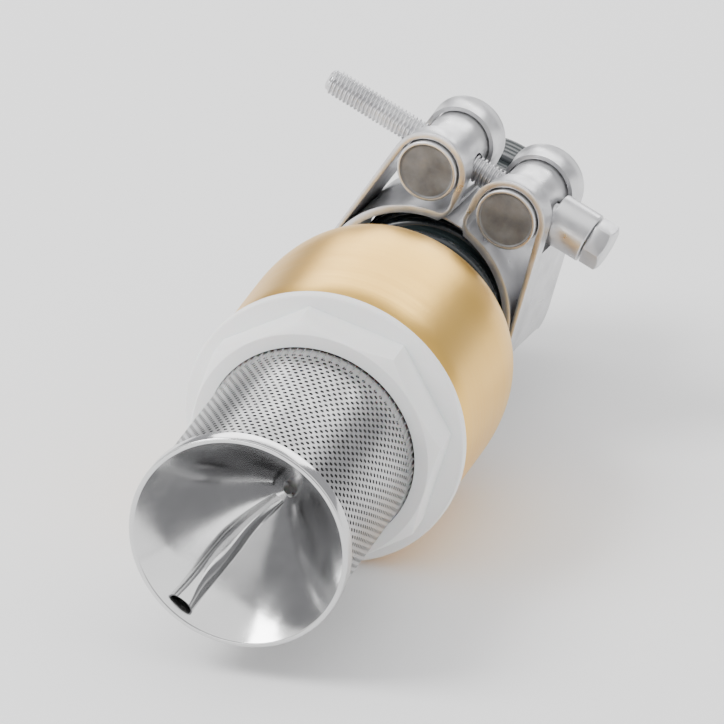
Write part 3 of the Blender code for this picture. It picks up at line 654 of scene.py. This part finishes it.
body_front, body_rear = (corner[1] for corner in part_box("valve_body"))
ledge_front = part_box("body_o_ring")[1][1] + GAP
thread_floor = body_rear - TAIL_THREAD_DEPTH
shoulder_front = body_rear - SHOULDER_LENGTH
body_outline = [
    (BODY_FRONT_RADIUS - BODY_EDGE, body_front),
    (BODY_FRONT_RADIUS - 0.3 * BODY_EDGE, body_front + 0.24 * BODY_EDGE),
    (BODY_FRONT_RADIUS, body_front + BODY_EDGE),
]
for share in (0.25, 0.5, 0.75, 1.0):
    bulge = BODY_BELLY * math.sin(share * math.pi / 2)
    y = body_front + (shoulder_front - body_front) * share
    body_outline.append((BODY_FRONT_RADIUS + bulge, y))
shoulder_drop = BODY_FRONT_RADIUS + BODY_BELLY - BODY_REAR_RADIUS
for step in range(1, SHOULDER_STEPS + 1):
    turn = step / SHOULDER_STEPS * math.pi / 2
    radius = BODY_REAR_RADIUS + shoulder_drop * math.cos(turn)
    body_outline.append((radius, shoulder_front + SHOULDER_LENGTH * math.sin(turn)))
body_outline += [
    (TAIL_THREAD_BORE + BODY_EDGE, body_rear),
    (TAIL_THREAD_BORE, body_rear - BODY_EDGE),
    (TAIL_THREAD_BORE, thread_floor),
    (CAGE_POCKET, thread_floor),
    (CAGE_POCKET, thread_floor - CAGE_POCKET_DEPTH),
    (CHAMBER_RADIUS, thread_floor - CAGE_POCKET_DEPTH - CHAMBER_SLOPE),
    (CHAMBER_RADIUS, ledge_front + LEDGE_THICKNESS + CHAMBER_SLOPE),
    (LEDGE_RADIUS, ledge_front + LEDGE_THICKNESS),
    (LEDGE_RADIUS, ledge_front),
    (BUSH_POCKET, ledge_front),
    (BUSH_POCKET, body_front),
]
barrel = turned("valve_body_barrel", body_outline, 160)
smooth(barrel, 30.0)
satin_brass = new_material("satin_brass", (0.94, 0.57, 0.12), 0.33, 1.0)
tint(
    satin_brass,
    noise(satin_brass, 38.0, (1.0, 0.6, 1.0)),
    (0.30, (0.91, 0.53, 0.09)),
    (0.52, (0.94, 0.57, 0.12)),
    (0.72, (0.96, 0.61, 0.16)),
)
dull(satin_brass, noise(satin_brass, 30.0, (1.0, 60.0, 1.0)), 0.29, 0.36)
bump(
    satin_brass,
    (noise(satin_brass, 14.0, (1.0, 260.0, 1.0), 2.0), 0.010 * MM),
    (noise(satin_brass, 1400.0), 0.006 * MM),
)
dress(barrel, satin_brass, "valve", "satin_brass", "valve_body")

# ---- working parts inside the body ----
# Seat bush, poppet with its seal, washer and nut, guide cage and the gaskets.
# They keep their machined shapes, and each gets its own finish.
machined_brass = new_material("machined_brass", (0.92, 0.64, 0.26), 0.24, 1.0)
tint(
    machined_brass,
    noise(machined_brass, 70.0),
    (0.3, (0.86, 0.56, 0.20)),
    (0.7, (0.94, 0.69, 0.32)),
)
dull(machined_brass, noise(machined_brass, 140.0, (1.0, 5.0, 1.0)), 0.20, 0.32)
bump(machined_brass, (noise(machined_brass, 16.0, (1.0, 200.0, 1.0), 2.0), 0.012 * MM))
drawn_steel = new_material("drawn_steel", (0.64, 0.65, 0.67), 0.28, 1.0)
tint(drawn_steel, noise(drawn_steel, 120.0), (0.3, (0.56, 0.57, 0.59)), (0.7, (0.70, 0.71, 0.73)))
dull(drawn_steel, noise(drawn_steel, 400.0, (1.0, 0.2, 1.0)), 0.22, 0.36)
bump(drawn_steel, (noise(drawn_steel, 800.0, (1.0, 0.1, 1.0)), 0.006 * MM))
rubber = new_material("black_rubber", (0.03, 0.03, 0.03), 0.65)
tint(rubber, noise(rubber, 90.0), (0.3, (0.022, 0.022, 0.023)), (0.7, (0.045, 0.044, 0.043)))
dull(rubber, noise(rubber, 300.0), 0.55, 0.75)
bump(rubber, (noise(rubber, 1200.0), 0.02 * MM))
fibre = new_material("red_fibre", (0.34, 0.07, 0.05), 0.72)
tint(
    fibre,
    noise(fibre, 260.0, (1.0, 4.0, 1.0)),
    (0.3, (0.26, 0.05, 0.035)),
    (0.7, (0.42, 0.10, 0.07)),
)
dull(fibre, noise(fibre, 500.0), 0.62, 0.82)
bump(fibre, (noise(fibre, 1500.0), 0.02 * MM))
for node_name, finish in (
    ("seat_bush", machined_brass),
    ("poppet_disc", machined_brass),
    ("poppet_stem", drawn_steel),
    ("seal_washer", drawn_steel),
    ("poppet_nut", drawn_steel),
    ("guide_cage", nylon),
    ("poppet_seal", rubber),
    ("body_o_ring", rubber),
    ("adapter_gasket", rubber),
    ("tail_gasket", fibre),
):
    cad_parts[node_name].data.materials.clear()
    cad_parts[node_name].data.materials.append(finish)

# ---- poppet spring ----
# A compression spring wound from drawn steel wire with closed ends. Its rear end stands on the
# guide cage's arms. On the real valve its front end moves with the disc, so it shortens as the
# poppet lifts; this piece is wound at one length and rides on the valve's body.
SPRING_WIRE_RADIUS = 0.5 * MM
SPRING_COIL_RADIUS = 6.5 * MM
SPRING_TURNS = 4.5
SPRING_DEAD_TURNS = 0.75
SPRING_DEAD_PITCH = 1.1 * MM
SPRING_STEPS = 216
WIRE_SIDES = 12

spring_front, spring_rear = (corner[1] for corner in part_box("poppet_spring"))
wire_front = spring_front + SPRING_WIRE_RADIUS
wire_rear = spring_rear - SPRING_WIRE_RADIUS
dead_length = SPRING_DEAD_TURNS * SPRING_DEAD_PITCH
open_pitch = (wire_rear - wire_front - 2 * dead_length) / (SPRING_TURNS - 2 * SPRING_DEAD_TURNS)


def spring_place(turns):
    """How far back the wire's middle lies after so many turns from the front."""
    if turns < SPRING_DEAD_TURNS:
        return wire_front + turns * SPRING_DEAD_PITCH
    if turns > SPRING_TURNS - SPRING_DEAD_TURNS:
        return wire_rear - (SPRING_TURNS - turns) * SPRING_DEAD_PITCH
    return wire_front + dead_length + (turns - SPRING_DEAD_TURNS) * open_pitch


select_none()
bpy.ops.mesh.primitive_grid_add(x_subdivisions=SPRING_STEPS, y_subdivisions=WIRE_SIDES, size=1.0)
spring = added("poppet_spring_coil")
for vertex in spring.data.vertices:
    turns = (vertex.co.x + 0.5) * SPRING_TURNS
    round_wire = (vertex.co.y + 0.5) * 2 * math.pi
    radius = SPRING_COIL_RADIUS + SPRING_WIRE_RADIUS * math.cos(round_wire)
    vertex.co = (
        radius * math.sin(2 * math.pi * turns),
        spring_place(turns) + SPRING_WIRE_RADIUS * math.sin(round_wire),
        radius * math.cos(2 * math.pi * turns),
    )
edit(
    spring,
    merge_doubles,
    lambda: bpy.ops.mesh.fill_holes(sides=WIRE_SIDES + 2),
    turn_faces_out,
)
smooth(spring, 50.0)
dress(spring, drawn_steel, "valve", "drawn_steel", "poppet_spring")
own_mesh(spring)

# ---- hose tail ----
# Turned from brass hexagon bar: a G1 spigot and flange that screw into the body, the hexagon for
# the spanner, and a barbed stem that grips the hose.
TAIL_HEX_FLATS = 34.0 * MM
TAIL_HEX_LENGTH = 2.8 * MM
TAIL_HEX_CHAMFER = 1.2 * MM
TAIL_FLANGE_RADIUS = 19.5 * MM
TAIL_FLANGE_THICKNESS = 1.2 * MM
TAIL_SPIGOT_RADIUS = 16.4 * MM
TAIL_SPIGOT_BORE = 13.4 * MM
TAIL_BORE = 10.0 * MM
TAIL_FUNNEL = 3.0 * MM  # over which the spigot's bore narrows to the stem's
BARB_CREST = 13.0 * MM
BARB_ROOT = 12.0 * MM
BARB_LAND = 1.2 * MM
BARB_PITCH = 7.2 * MM
BARB_COUNT = 5

tail_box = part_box("hose_tail")
tail_spigot_front, tail_rear = tail_box[0][1], tail_box[1][1]
tail_flange_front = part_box("tail_gasket")[1][1] + GAP
hex_front = tail_flange_front + TAIL_FLANGE_THICKNESS
hex_rear = hex_front + TAIL_HEX_LENGTH
tail_corners = [
    (TAIL_SPIGOT_BORE, tail_spigot_front, 0.3 * MM),
    (TAIL_SPIGOT_RADIUS, tail_spigot_front, 0.4 * MM),
    (TAIL_SPIGOT_RADIUS, tail_flange_front, 0.0),
    (TAIL_FLANGE_RADIUS, tail_flange_front, 0.25 * MM),
    (TAIL_FLANGE_RADIUS, hex_front, 0.25 * MM),
    (BARB_ROOT + MM, hex_front + MM, 0.0),
    (BARB_ROOT, hex_rear, 0.0),
]
for barb in range(BARB_COUNT):
    crest = hex_rear + BARB_LAND + BARB_PITCH * barb
    tail_corners.append((BARB_ROOT, crest, 0.0))
    tail_corners.append((BARB_CREST, crest + 0.2 * MM, 0.15 * MM))
    tail_corners.append((BARB_CREST, crest + BARB_LAND, 0.3 * MM))
tail_corners += [
    (BARB_ROOT, tail_rear, 0.2 * MM),
    (TAIL_BORE, tail_rear, 0.2 * MM),
    (TAIL_BORE, hex_front + TAIL_FUNNEL, 0.0),
    (TAIL_SPIGOT_BORE, hex_front, 0.0),
]
tail = turned("hose_tail_stem", rounded(tail_corners, 0.0))
tail_hexagon = bar("tail_hexagon", TAIL_HEX_FLATS, 6, hex_front, hex_rear)
hexagon_corner = TAIL_HEX_FLATS / 2 / math.cos(math.pi / 6)
cut(
    tail_hexagon,
    turned(
        "hexagon_chamfer",
        [
            (0.0, hex_front - MM),
            (hexagon_corner + MM, hex_front - MM),
            (hexagon_corner + MM, hex_rear - TAIL_HEX_CHAMFER),
            (hexagon_corner - 2 * TAIL_HEX_CHAMFER, hex_rear + 0.4 * MM),
            (0.0, hex_rear + 0.4 * MM),
        ],
    ),
    operation="INTERSECT",
)
cut(tail_hexagon, ring("hexagon_bore", 0.0, BARB_ROOT - 0.2 * MM, hex_front - MM, hex_rear + MM))
ease_edges(tail_hexagon, 0.15 * MM, 15)
joined(tail, tail_hexagon)
smooth(tail, 30.0)
dress(tail, machined_brass, "valve", "machined_brass", "hose_tail")

# ---- hose end ----
# The end of the suction hose, flexible dark green PVC with fine rings in its skin, pushed over the
# barbs. It is cut off behind the clamp.
HOSE_BORE = 13.3 * MM
HOSE_RADIUS = 15.3 * MM
HOSE_RING_PITCH = 1.4 * MM
HOSE_RING_DEPTH = 0.16 * MM

hose_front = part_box("hose_end")[0][1]
hose_rings = int(-hose_front / HOSE_RING_PITCH)
hose_outline = [(HOSE_BORE, 0.0), (HOSE_BORE, hose_front)]
for ring_number in range(hose_rings):
    y = hose_front + ring_number * HOSE_RING_PITCH
    hose_outline.append((HOSE_RADIUS - HOSE_RING_DEPTH, y))
    for share in (0.25, 0.5, 0.75):
        depth = HOSE_RING_DEPTH * (1 - math.sin(share * math.pi))
        hose_outline.append((HOSE_RADIUS - depth, y + share * HOSE_RING_PITCH))
hose_outline.append((HOSE_RADIUS - HOSE_RING_DEPTH, 0.0))
hose = turned("hose_end_wall", hose_outline, 96)
smooth(hose, 50.0)
hose_skin = new_material(
    "dark_hose_pvc", (0.009, 0.015, 0.016), 0.34, Coat_Weight=0.15, Coat_Roughness=0.25
)
tint(hose_skin, noise(hose_skin, 70.0), (0.3, (0.005, 0.010, 0.011)), (0.7, (0.014, 0.022, 0.023)))
dull(hose_skin, noise(hose_skin, 260.0), 0.28, 0.44)
bump(hose_skin, (noise(hose_skin, 500.0, (1.0, 0.3, 1.0)), 0.02 * MM))
dress(hose, hose_skin, "valve", "dark_hose", "hose_end")

# ---- hose spiral ----
# The rigid PVC rib that keeps the hose open under suction. It is wound on the hose's wall and
# welded to it, and is shinier than the wall.
SPIRAL_INNER = 15.1 * MM
SPIRAL_CREST = 16.05 * MM
SPIRAL_PITCH = 5.6 * MM
SPIRAL_HALF = 1.2 * MM
SPIRAL_TURNS = 9
SPIRAL_INSET = 1.6 * MM  # from the hose's front end to the rib's

spiral_start = hose_front + SPIRAL_INSET + SPIRAL_HALF
rib_half = [(0.18, 1.0), (0.5, 0.9), (0.86, 0.5), (1.0, 0.0)]
rib_section = [
    (SPIRAL_INNER + (SPIRAL_CREST - SPIRAL_INNER) * rise, spiral_start + SPIRAL_HALF * across)
    for across, rise in [(-across, rise) for across, rise in reversed(rib_half)] + rib_half
]
spiral = wound("hose_spiral_rib", rib_section, SPIRAL_PITCH, SPIRAL_TURNS, 72)
smooth(spiral, 50.0)
rib_pvc = new_material(
    "spiral_pvc", (0.007, 0.010, 0.013), 0.26, Coat_Weight=0.2, Coat_Roughness=0.2
)
tint(rib_pvc, noise(rib_pvc, 80.0), (0.3, (0.004, 0.007, 0.009)), (0.7, (0.011, 0.016, 0.019)))
dull(rib_pvc, noise(rib_pvc, 300.0), 0.22, 0.36)
bump(rib_pvc, (noise(rib_pvc, 700.0), 0.012 * MM))
dress(spiral, rib_pvc, "valve", "hose_rib", "hose_spiral")

# ---- clamp band ----
# A wide band of zinc-plated steel sheet. Each end is bent up into a loop for a trunnion and welded
# back to the band, and both loops are slotted for the bolt. It sits a little askew on the hose.
CLAMP_MIDDLE = -35.0 * MM
CLAMP_ANGLE = math.radians(24.0)
CLAMP_SKEW = math.radians(5.0)
BAND_WIDTH = 20.0 * MM
BAND_SHEET = 0.8 * MM
BAND_RADIUS = 18.43 * MM  # to the middle of the sheet
BEND_TURN = 0.05  # each side of the gap, taken up by the bend into a loop
TRUNNION_RADIUS = 5.8 * MM
TRUNNION_SPACING = 17.1 * MM
TRUNNION_HEIGHT = 25.2 * MM
LOOP_RADIUS = 6.5 * MM
SLOT_HALF = 5.1 * MM
WELD_ARC = math.radians(16.0)
WELD_OVERLAP = 0.1 * MM
LOOP_FOOT = 2.2 * MM  # above the band, where a loop's straight side starts
BEND_EASE = 0.6 * MM
ROW_CROWDING = 1.6  # how much closer a sheet's rows are towards its edges
ROLL_REACH = 1.7 * MM
ROLL_OUT = 0.25 * MM
ROLL_IN = 0.55 * MM
ROLL_LOOP = 0.5 * MM

clamp_place = (
    Matrix.Translation((0.0, CLAMP_MIDDLE, 0.0))
    @ Matrix.Rotation(CLAMP_ANGLE, 4, "Y")
    @ Matrix.Rotation(-CLAMP_SKEW, 4, "Z")
)


def arc(centre, radius, start, end, steps):
    """Points on a circle in the clamp's plane, turning from its upright to the bolt's head."""
    points = []
    for step in range(steps + 1):
        turn = start + (end - start) * step / steps
        point = (centre[0] + radius * math.sin(turn), centre[1] + radius * math.cos(turn))
        points.append(Vector(point))
    return points


def mirrored(points):
    """The same points on the clamp's other side."""
    return [Vector((-point.x, point.y)) for point in points]


def bent_sheet(name, path, width, sheet, edge=0.15 * MM, rolled=None):
    """Sheet bent along a path in the clamp's plane, its edges eased and, if asked, rolled."""
    select_none()
    bpy.ops.mesh.primitive_grid_add(x_subdivisions=len(path) - 1, y_subdivisions=12, size=1.0)
    piece = added(name)
    for vertex in piece.data.vertices:
        point = path[round((vertex.co.x + 0.5) * (len(path) - 1))]
        across = 1 - (1 - abs(vertex.co.y * 2)) ** ROW_CROWDING
        vertex.co = (point.x, math.copysign(across, vertex.co.y) * width / 2, point.y)
    apply_modifier(piece, "SOLIDIFY", thickness=sheet, offset=0.0)
    if rolled:
        for vertex in piece.data.vertices:
            vertex.co = rolled(vertex.co)
    ease_edges(piece, edge, 60)
    return piece


band_gap_x = TRUNNION_SPACING / 2 - LOOP_RADIUS
band_gap_turn = math.asin(band_gap_x / BAND_RADIUS)
loop_tail_radius = BAND_RADIUS + BAND_SHEET - WELD_OVERLAP
loop_centre = (TRUNNION_SPACING / 2, TRUNNION_HEIGHT)
loop_lean = math.acos((loop_tail_radius - LOOP_RADIUS) / math.hypot(*loop_centre))
loop_leave = math.atan2(*loop_centre) + loop_lean
loop_foot = Vector((band_gap_x, BAND_RADIUS + LOOP_FOOT))
loop_side = Vector((band_gap_x, TRUNNION_HEIGHT - BEND_EASE))
right_loop = [loop_foot.lerp(loop_side, share) for share in (0.0, 0.25, 0.75, 1.0)]
right_loop += arc(loop_centre, LOOP_RADIUS, -math.pi / 2, loop_leave, 30)
right_loop += arc((0.0, 0.0), loop_tail_radius, loop_leave, loop_leave + WELD_ARC, 8)
right_loop.reverse()
right_loop.append(Vector((band_gap_x, BAND_RADIUS * math.cos(band_gap_turn) + BEND_EASE)))
ring_start = band_gap_turn + BEND_TURN
band_ring = arc((0.0, 0.0), BAND_RADIUS, ring_start, 2 * math.pi - ring_start, 150)
band_path = right_loop + band_ring + mirrored(reversed(right_loop))


def roll_edge(place):
    """Thicken the band towards its two edges, where the sheet is rolled round."""
    share = (abs(place[1]) - BAND_WIDTH / 2 + ROLL_REACH) / ROLL_REACH
    if share <= 0:
        return place
    point = Vector((place[0], place[2]))
    middle = Vector((0.0, 0.0))
    step = ROLL_OUT
    if point.length > loop_tail_radius + BAND_SHEET:
        middle = Vector((math.copysign(TRUNNION_SPACING / 2, point.x), TRUNNION_HEIGHT))
        step = ROLL_LOOP if (point - middle).length > LOOP_RADIUS else 0.0
    elif point.length < BAND_RADIUS:
        step = -ROLL_IN
    point += (point - middle).normalized() * step * share**1.5
    return (point.x, place[1], point.y)


band = bent_sheet("clamp_band_sheet", band_path, BAND_WIDTH, BAND_SHEET, rolled=roll_edge)
slot_low = TRUNNION_HEIGHT - SLOT_HALF
slot_high = TRUNNION_HEIGHT + TRUNNION_RADIUS + 4 * BAND_SHEET
for side in (-1, 1):
    select_none()
    bpy.ops.mesh.primitive_cube_add(
        size=1.0,
        location=(side * TRUNNION_SPACING / 2, 0.0, (slot_low + slot_high) / 2),
        scale=(TRUNNION_SPACING, 2 * SLOT_HALF, slot_high - slot_low),
    )
    slot_tool = added("bolt_slot")
    bpy.ops.object.transform_apply(location=True, rotation=True, scale=True)
    cut(band, slot_tool)
band.data.transform(clamp_place)
smooth(band, 35.0)
zinc = new_material("bright_zinc", (0.68, 0.68, 0.69), 0.32, 0.9)
tint(
    zinc,
    noise(zinc, 110.0),
    (0.3, (0.56, 0.56, 0.57)),
    (0.55, (0.68, 0.68, 0.69)),
    (0.75, (0.76, 0.76, 0.76)),
)
dull(zinc, noise(zinc, 340.0, detail=8.0), 0.26, 0.44)
bump(zinc, (noise(zinc, 220.0), 0.02 * MM), (noise(zinc, 1800.0), 0.004 * MM))
dress(band, zinc, "valve", "zinc_steel", "clamp_band")

# ---- clamp bridge ----
# A loose plate of zinc-plated sheet, thinner than the band's, that lies on the hose under the
# loops. It keeps the soft hose out of the gap as the bolt draws the band tight.
BRIDGE_HALF_ANGLE = math.radians(38.0)
BRIDGE_WIDTH = 16.4 * MM
BRIDGE_SHEET = 0.4 * MM
BRIDGE_EDGE = 0.08 * MM
bridge_radius = BAND_RADIUS - BAND_SHEET / 2 - GAP - BRIDGE_SHEET / 2
bridge = bent_sheet(
    "clamp_bridge_plate",
    arc((0.0, 0.0), bridge_radius, -BRIDGE_HALF_ANGLE, BRIDGE_HALF_ANGLE, 40),
    BRIDGE_WIDTH,
    BRIDGE_SHEET,
    BRIDGE_EDGE,
)
bridge.data.transform(clamp_place)
smooth(bridge, 35.0)
dress(bridge, zinc, "valve", "zinc_steel", "clamp_bridge")

# ---- trunnions ----
# Two short steel barrels that lie in the band's loops. The left one is tapped for the bolt and the
# right one is drilled through. Their sides are zinc-plated, and their dished ends are left dull
# from the saw.
BOLT_RADIUS = 2.5 * MM
HOLE_CLEARANCE = 0.3 * MM
TRUNNION_LENGTH = 21.6 * MM
TRUNNION_DISH = 0.25 * MM
TRUNNION_RIM = 0.6 * MM
SAWN_INSET = 0.5 * MM  # from the barrel's side to the sawn part of its end

trunnion_lift = Matrix.Translation((0.0, 0.0, TRUNNION_HEIGHT))
bolt_place = clamp_place @ trunnion_lift @ Matrix.Rotation(-math.pi / 2, 4, "Z")
sawn_end = new_material("sawn_steel_end", (0.17, 0.17, 0.17), 0.5, 0.4)
tint(
    sawn_end,
    noise(sawn_end, 190.0, detail=8.0),
    (0.3, (0.09, 0.09, 0.09)),
    (0.7, (0.24, 0.24, 0.24)),
)
dull(sawn_end, noise(sawn_end, 420.0, detail=8.0), 0.38, 0.60)
bump(sawn_end, (noise(sawn_end, 500.0), 0.03 * MM), (noise(sawn_end, 2200.0), 0.008 * MM))
half = TRUNNION_LENGTH / 2
rear_half = [
    (0.0, half - TRUNNION_DISH, 0.0),
    (TRUNNION_RADIUS - 1.5 * TRUNNION_RIM, half - TRUNNION_DISH, 0.3 * MM),
    (TRUNNION_RADIUS - TRUNNION_RIM, half, 0.2 * MM),
    (TRUNNION_RADIUS, half, 0.4 * MM),
]
front_half = [(radius, -y, rounding) for radius, y, rounding in rear_half]
trunnion_outline = rounded(front_half + rear_half[::-1], 0.0)
for side, piece_name, node_name in (
    (-1, "nut_trunnion_barrel", "nut_trunnion"),
    (1, "plain_trunnion_barrel", "plain_trunnion"),
):
    trunnion = turned(piece_name, trunnion_outline, 64)
    select_none()
    bpy.ops.mesh.primitive_cylinder_add(
        vertices=32,
        radius=BOLT_RADIUS + HOLE_CLEARANCE,
        depth=4 * TRUNNION_RADIUS,
        rotation=(0.0, math.pi / 2, 0.0),
    )
    cross_hole = added("cross_hole")
    bpy.ops.object.transform_apply(location=True, rotation=True, scale=True)
    cut(trunnion, cross_hole)
    end_faces = set()
    for face in trunnion.data.polygons:
        at_end = abs(face.center.y) > half - 2 * TRUNNION_DISH
        if at_end and math.hypot(face.center.x, face.center.z) < TRUNNION_RADIUS - SAWN_INSET:
            end_faces.add(face.index)
    shift = Matrix.Translation((side * TRUNNION_SPACING / 2, 0.0, TRUNNION_HEIGHT))
    trunnion.data.transform(clamp_place @ shift)
    smooth(trunnion, 30.0)
    dress(trunnion, zinc, "valve", "zinc_steel", node_name)
    trunnion.data.materials.append(sawn_end)
    for face in trunnion.data.polygons:
        face.material_index = 1 if face.index in end_faces else 0

# ---- clamp spacer ----
# A short sleeve turned from steel and zinc-plated, loose on the bolt between the right trunnion
# and the bolt's head. It moves out with the bolt but doesn't turn with it.
SPACER_RADIUS = 4.8 * MM
SPACER_LENGTH = 7.6 * MM
SPACER_EDGE = 0.35 * MM
spacer_front = TRUNNION_SPACING / 2 + TRUNNION_RADIUS + GAP
spacer_rear = spacer_front + SPACER_LENGTH
spacer = ring(
    "clamp_spacer_sleeve",
    BOLT_RADIUS + HOLE_CLEARANCE,
    SPACER_RADIUS,
    spacer_front,
    spacer_rear,
    SPACER_EDGE,
    64,
)
spacer.data.transform(bolt_place)
smooth(spacer, 30.0)
dress(spacer, zinc, "bolt_sleeve", "zinc_steel", "clamp_spacer")

# ---- clamp bolt ----
# A zinc-plated M5 hexagon bolt, threaded nearly to its head. It draws the trunnions together, and
# its end stands well out past the left one.
M5_PITCH = 0.8 * MM
M5_CORE = 2.02 * MM
BOLT_TAIL = 20.0 * MM
HEAD_FLATS = 8.0 * MM
HEAD_HEIGHT = 3.5 * MM
HEAD_CHAMFER = 0.5 * MM
HEAD_OVERLAP = 0.2 * MM  # how far the shank runs into the head
SHANK_REACH = 2.0 * MM  # unthreaded length in front of the spacer
THREAD_SPARE = 3.0 * MM  # length that no turn of thread fills
bolt_tip = -(TRUNNION_SPACING / 2 + TRUNNION_RADIUS + BOLT_TAIL)
shank_front = spacer_front - SHANK_REACH
head_front = spacer_rear + GAP
head_rear = head_front + HEAD_HEIGHT
bolt = turned(
    "clamp_bolt_screw",
    rounded(
        [
            (0.0, bolt_tip, 0.0),
            (M5_CORE - 0.3 * MM, bolt_tip, 0.1 * MM),
            (M5_CORE, bolt_tip + 0.4 * MM, 0.0),
            (M5_CORE, shank_front, 0.0),
            (BOLT_RADIUS, shank_front + 0.4 * MM, 0.0),
            (BOLT_RADIUS, head_front + HEAD_OVERLAP, 0.0),
            (0.0, head_front + HEAD_OVERLAP, 0.0),
        ],
        0.0,
    ),
    32,
)
thread_turns = int((spacer_front - bolt_tip - THREAD_SPARE) / M5_PITCH)
bolt_thread = thread(
    "bolt_thread",
    M5_CORE - 0.08 * MM,
    BOLT_RADIUS - 0.02 * MM,
    M5_PITCH,
    bolt_tip + 0.9 * MM,
    thread_turns,
    24,
)
bolt_head = bar("bolt_head", HEAD_FLATS, 6, head_front, head_rear)
head_corner = HEAD_FLATS / 2 / math.cos(math.pi / 6)
cut(
    bolt_head,
    turned(
        "head_chamfer",
        [
            (0.0, head_front - MM),
            (head_corner + 0.2 * MM, head_front - MM),
            (head_corner + 0.2 * MM, head_rear - HEAD_CHAMFER),
            (head_corner - 1.5 * HEAD_CHAMFER, head_rear),
            (0.0, head_rear),
        ],
        64,
    ),
    operation="INTERSECT",
)
ease_edges(bolt_head, 0.12 * MM, 25)
joined(bolt, bolt_thread, bolt_head)
bolt.data.transform(bolt_place)
smooth(bolt, 35.0)
dress(bolt, zinc, "bolt", "zinc_steel", "clamp_bolt")

# ---- floor and studio light ----
# A plain pale floor under the flange, three large soft lamps that aren't seen, and a pale tent
# that is brightest in an arch over the valve's middle.
FLOOR_SIZE = 6.0
FLOOR_DROP = 0.2 * MM
TENT_STRENGTH = 1.9
ARCH_HALF = 0.32  # the tent is white where its direction leans less than this along the valve
SHADE_FROM = 0.62  # and grey where it leans more than this
select_none()
floor_height = cad_box[0][2] - FLOOR_DROP
bpy.ops.mesh.primitive_plane_add(size=FLOOR_SIZE, location=(0.0, 0.0, floor_height))
floor = added("studio_floor")
floor_paint = new_material("pale_floor", (0.92, 0.92, 0.92), 0.7)
tint(floor_paint, noise(floor_paint, 3.0), (0.3, (0.91, 0.91, 0.91)), (0.7, (0.93, 0.93, 0.93)))
floor.data.materials.append(floor_paint)


def soft_lamp(name, place, aim, width, height, power):
    """A large rectangular lamp that faces a point and isn't seen itself."""
    select_none()
    bpy.ops.object.light_add(type="AREA", location=place)
    lamp = bpy.context.object
    lamp.name = name
    lamp.data.shape = "RECTANGLE"
    lamp.data.size = width
    lamp.data.size_y = height
    lamp.data.energy = power
    lamp.visible_camera = False
    lamp.rotation_euler = (Vector(place) - Vector(aim)).to_track_quat("Z", "Y").to_euler()


valve_middle = (0.0, -0.08, 0.0)
soft_lamp("key_lamp", (-0.75, -0.50, 1.00), valve_middle, width=0.6, height=0.5, power=13.0)
soft_lamp("rear_lamp", (-0.10, 1.20, 0.62), valve_middle, width=1.3, height=0.5, power=9.0)
soft_lamp("front_lamp", (-0.45, -1.40, 0.22), valve_middle, width=0.8, height=0.35, power=3.5)
world = bpy.data.worlds.new("light_tent")
world.use_nodes = True
tent = world.node_tree
direction = tent.nodes.new("ShaderNodeTexCoord")
parts = tent.nodes.new("ShaderNodeSeparateXYZ")
along_valve = tent.nodes.new("ShaderNodeMath")
along_valve.operation = "ABSOLUTE"
arch = tent.nodes.new("ShaderNodeValToRGB")
arch.color_ramp.elements[0].position = ARCH_HALF
arch.color_ramp.elements[0].color = (1.0, 1.0, 1.0, 1.0)
arch.color_ramp.elements[1].position = SHADE_FROM
arch.color_ramp.elements[1].color = (0.26, 0.26, 0.27, 1.0)
tent.links.new(direction.outputs["Generated"], parts.inputs["Vector"])
tent.links.new(parts.outputs["Y"], along_valve.inputs[0])
tent.links.new(along_valve.outputs["Value"], arch.inputs["Fac"])
tent.links.new(arch.outputs["Color"], tent.nodes["Background"].inputs["Color"])
tent.nodes["Background"].inputs["Strength"].default_value = TENT_STRENGTH
bpy.context.scene.world = world

bpy.context.view_layer.update()
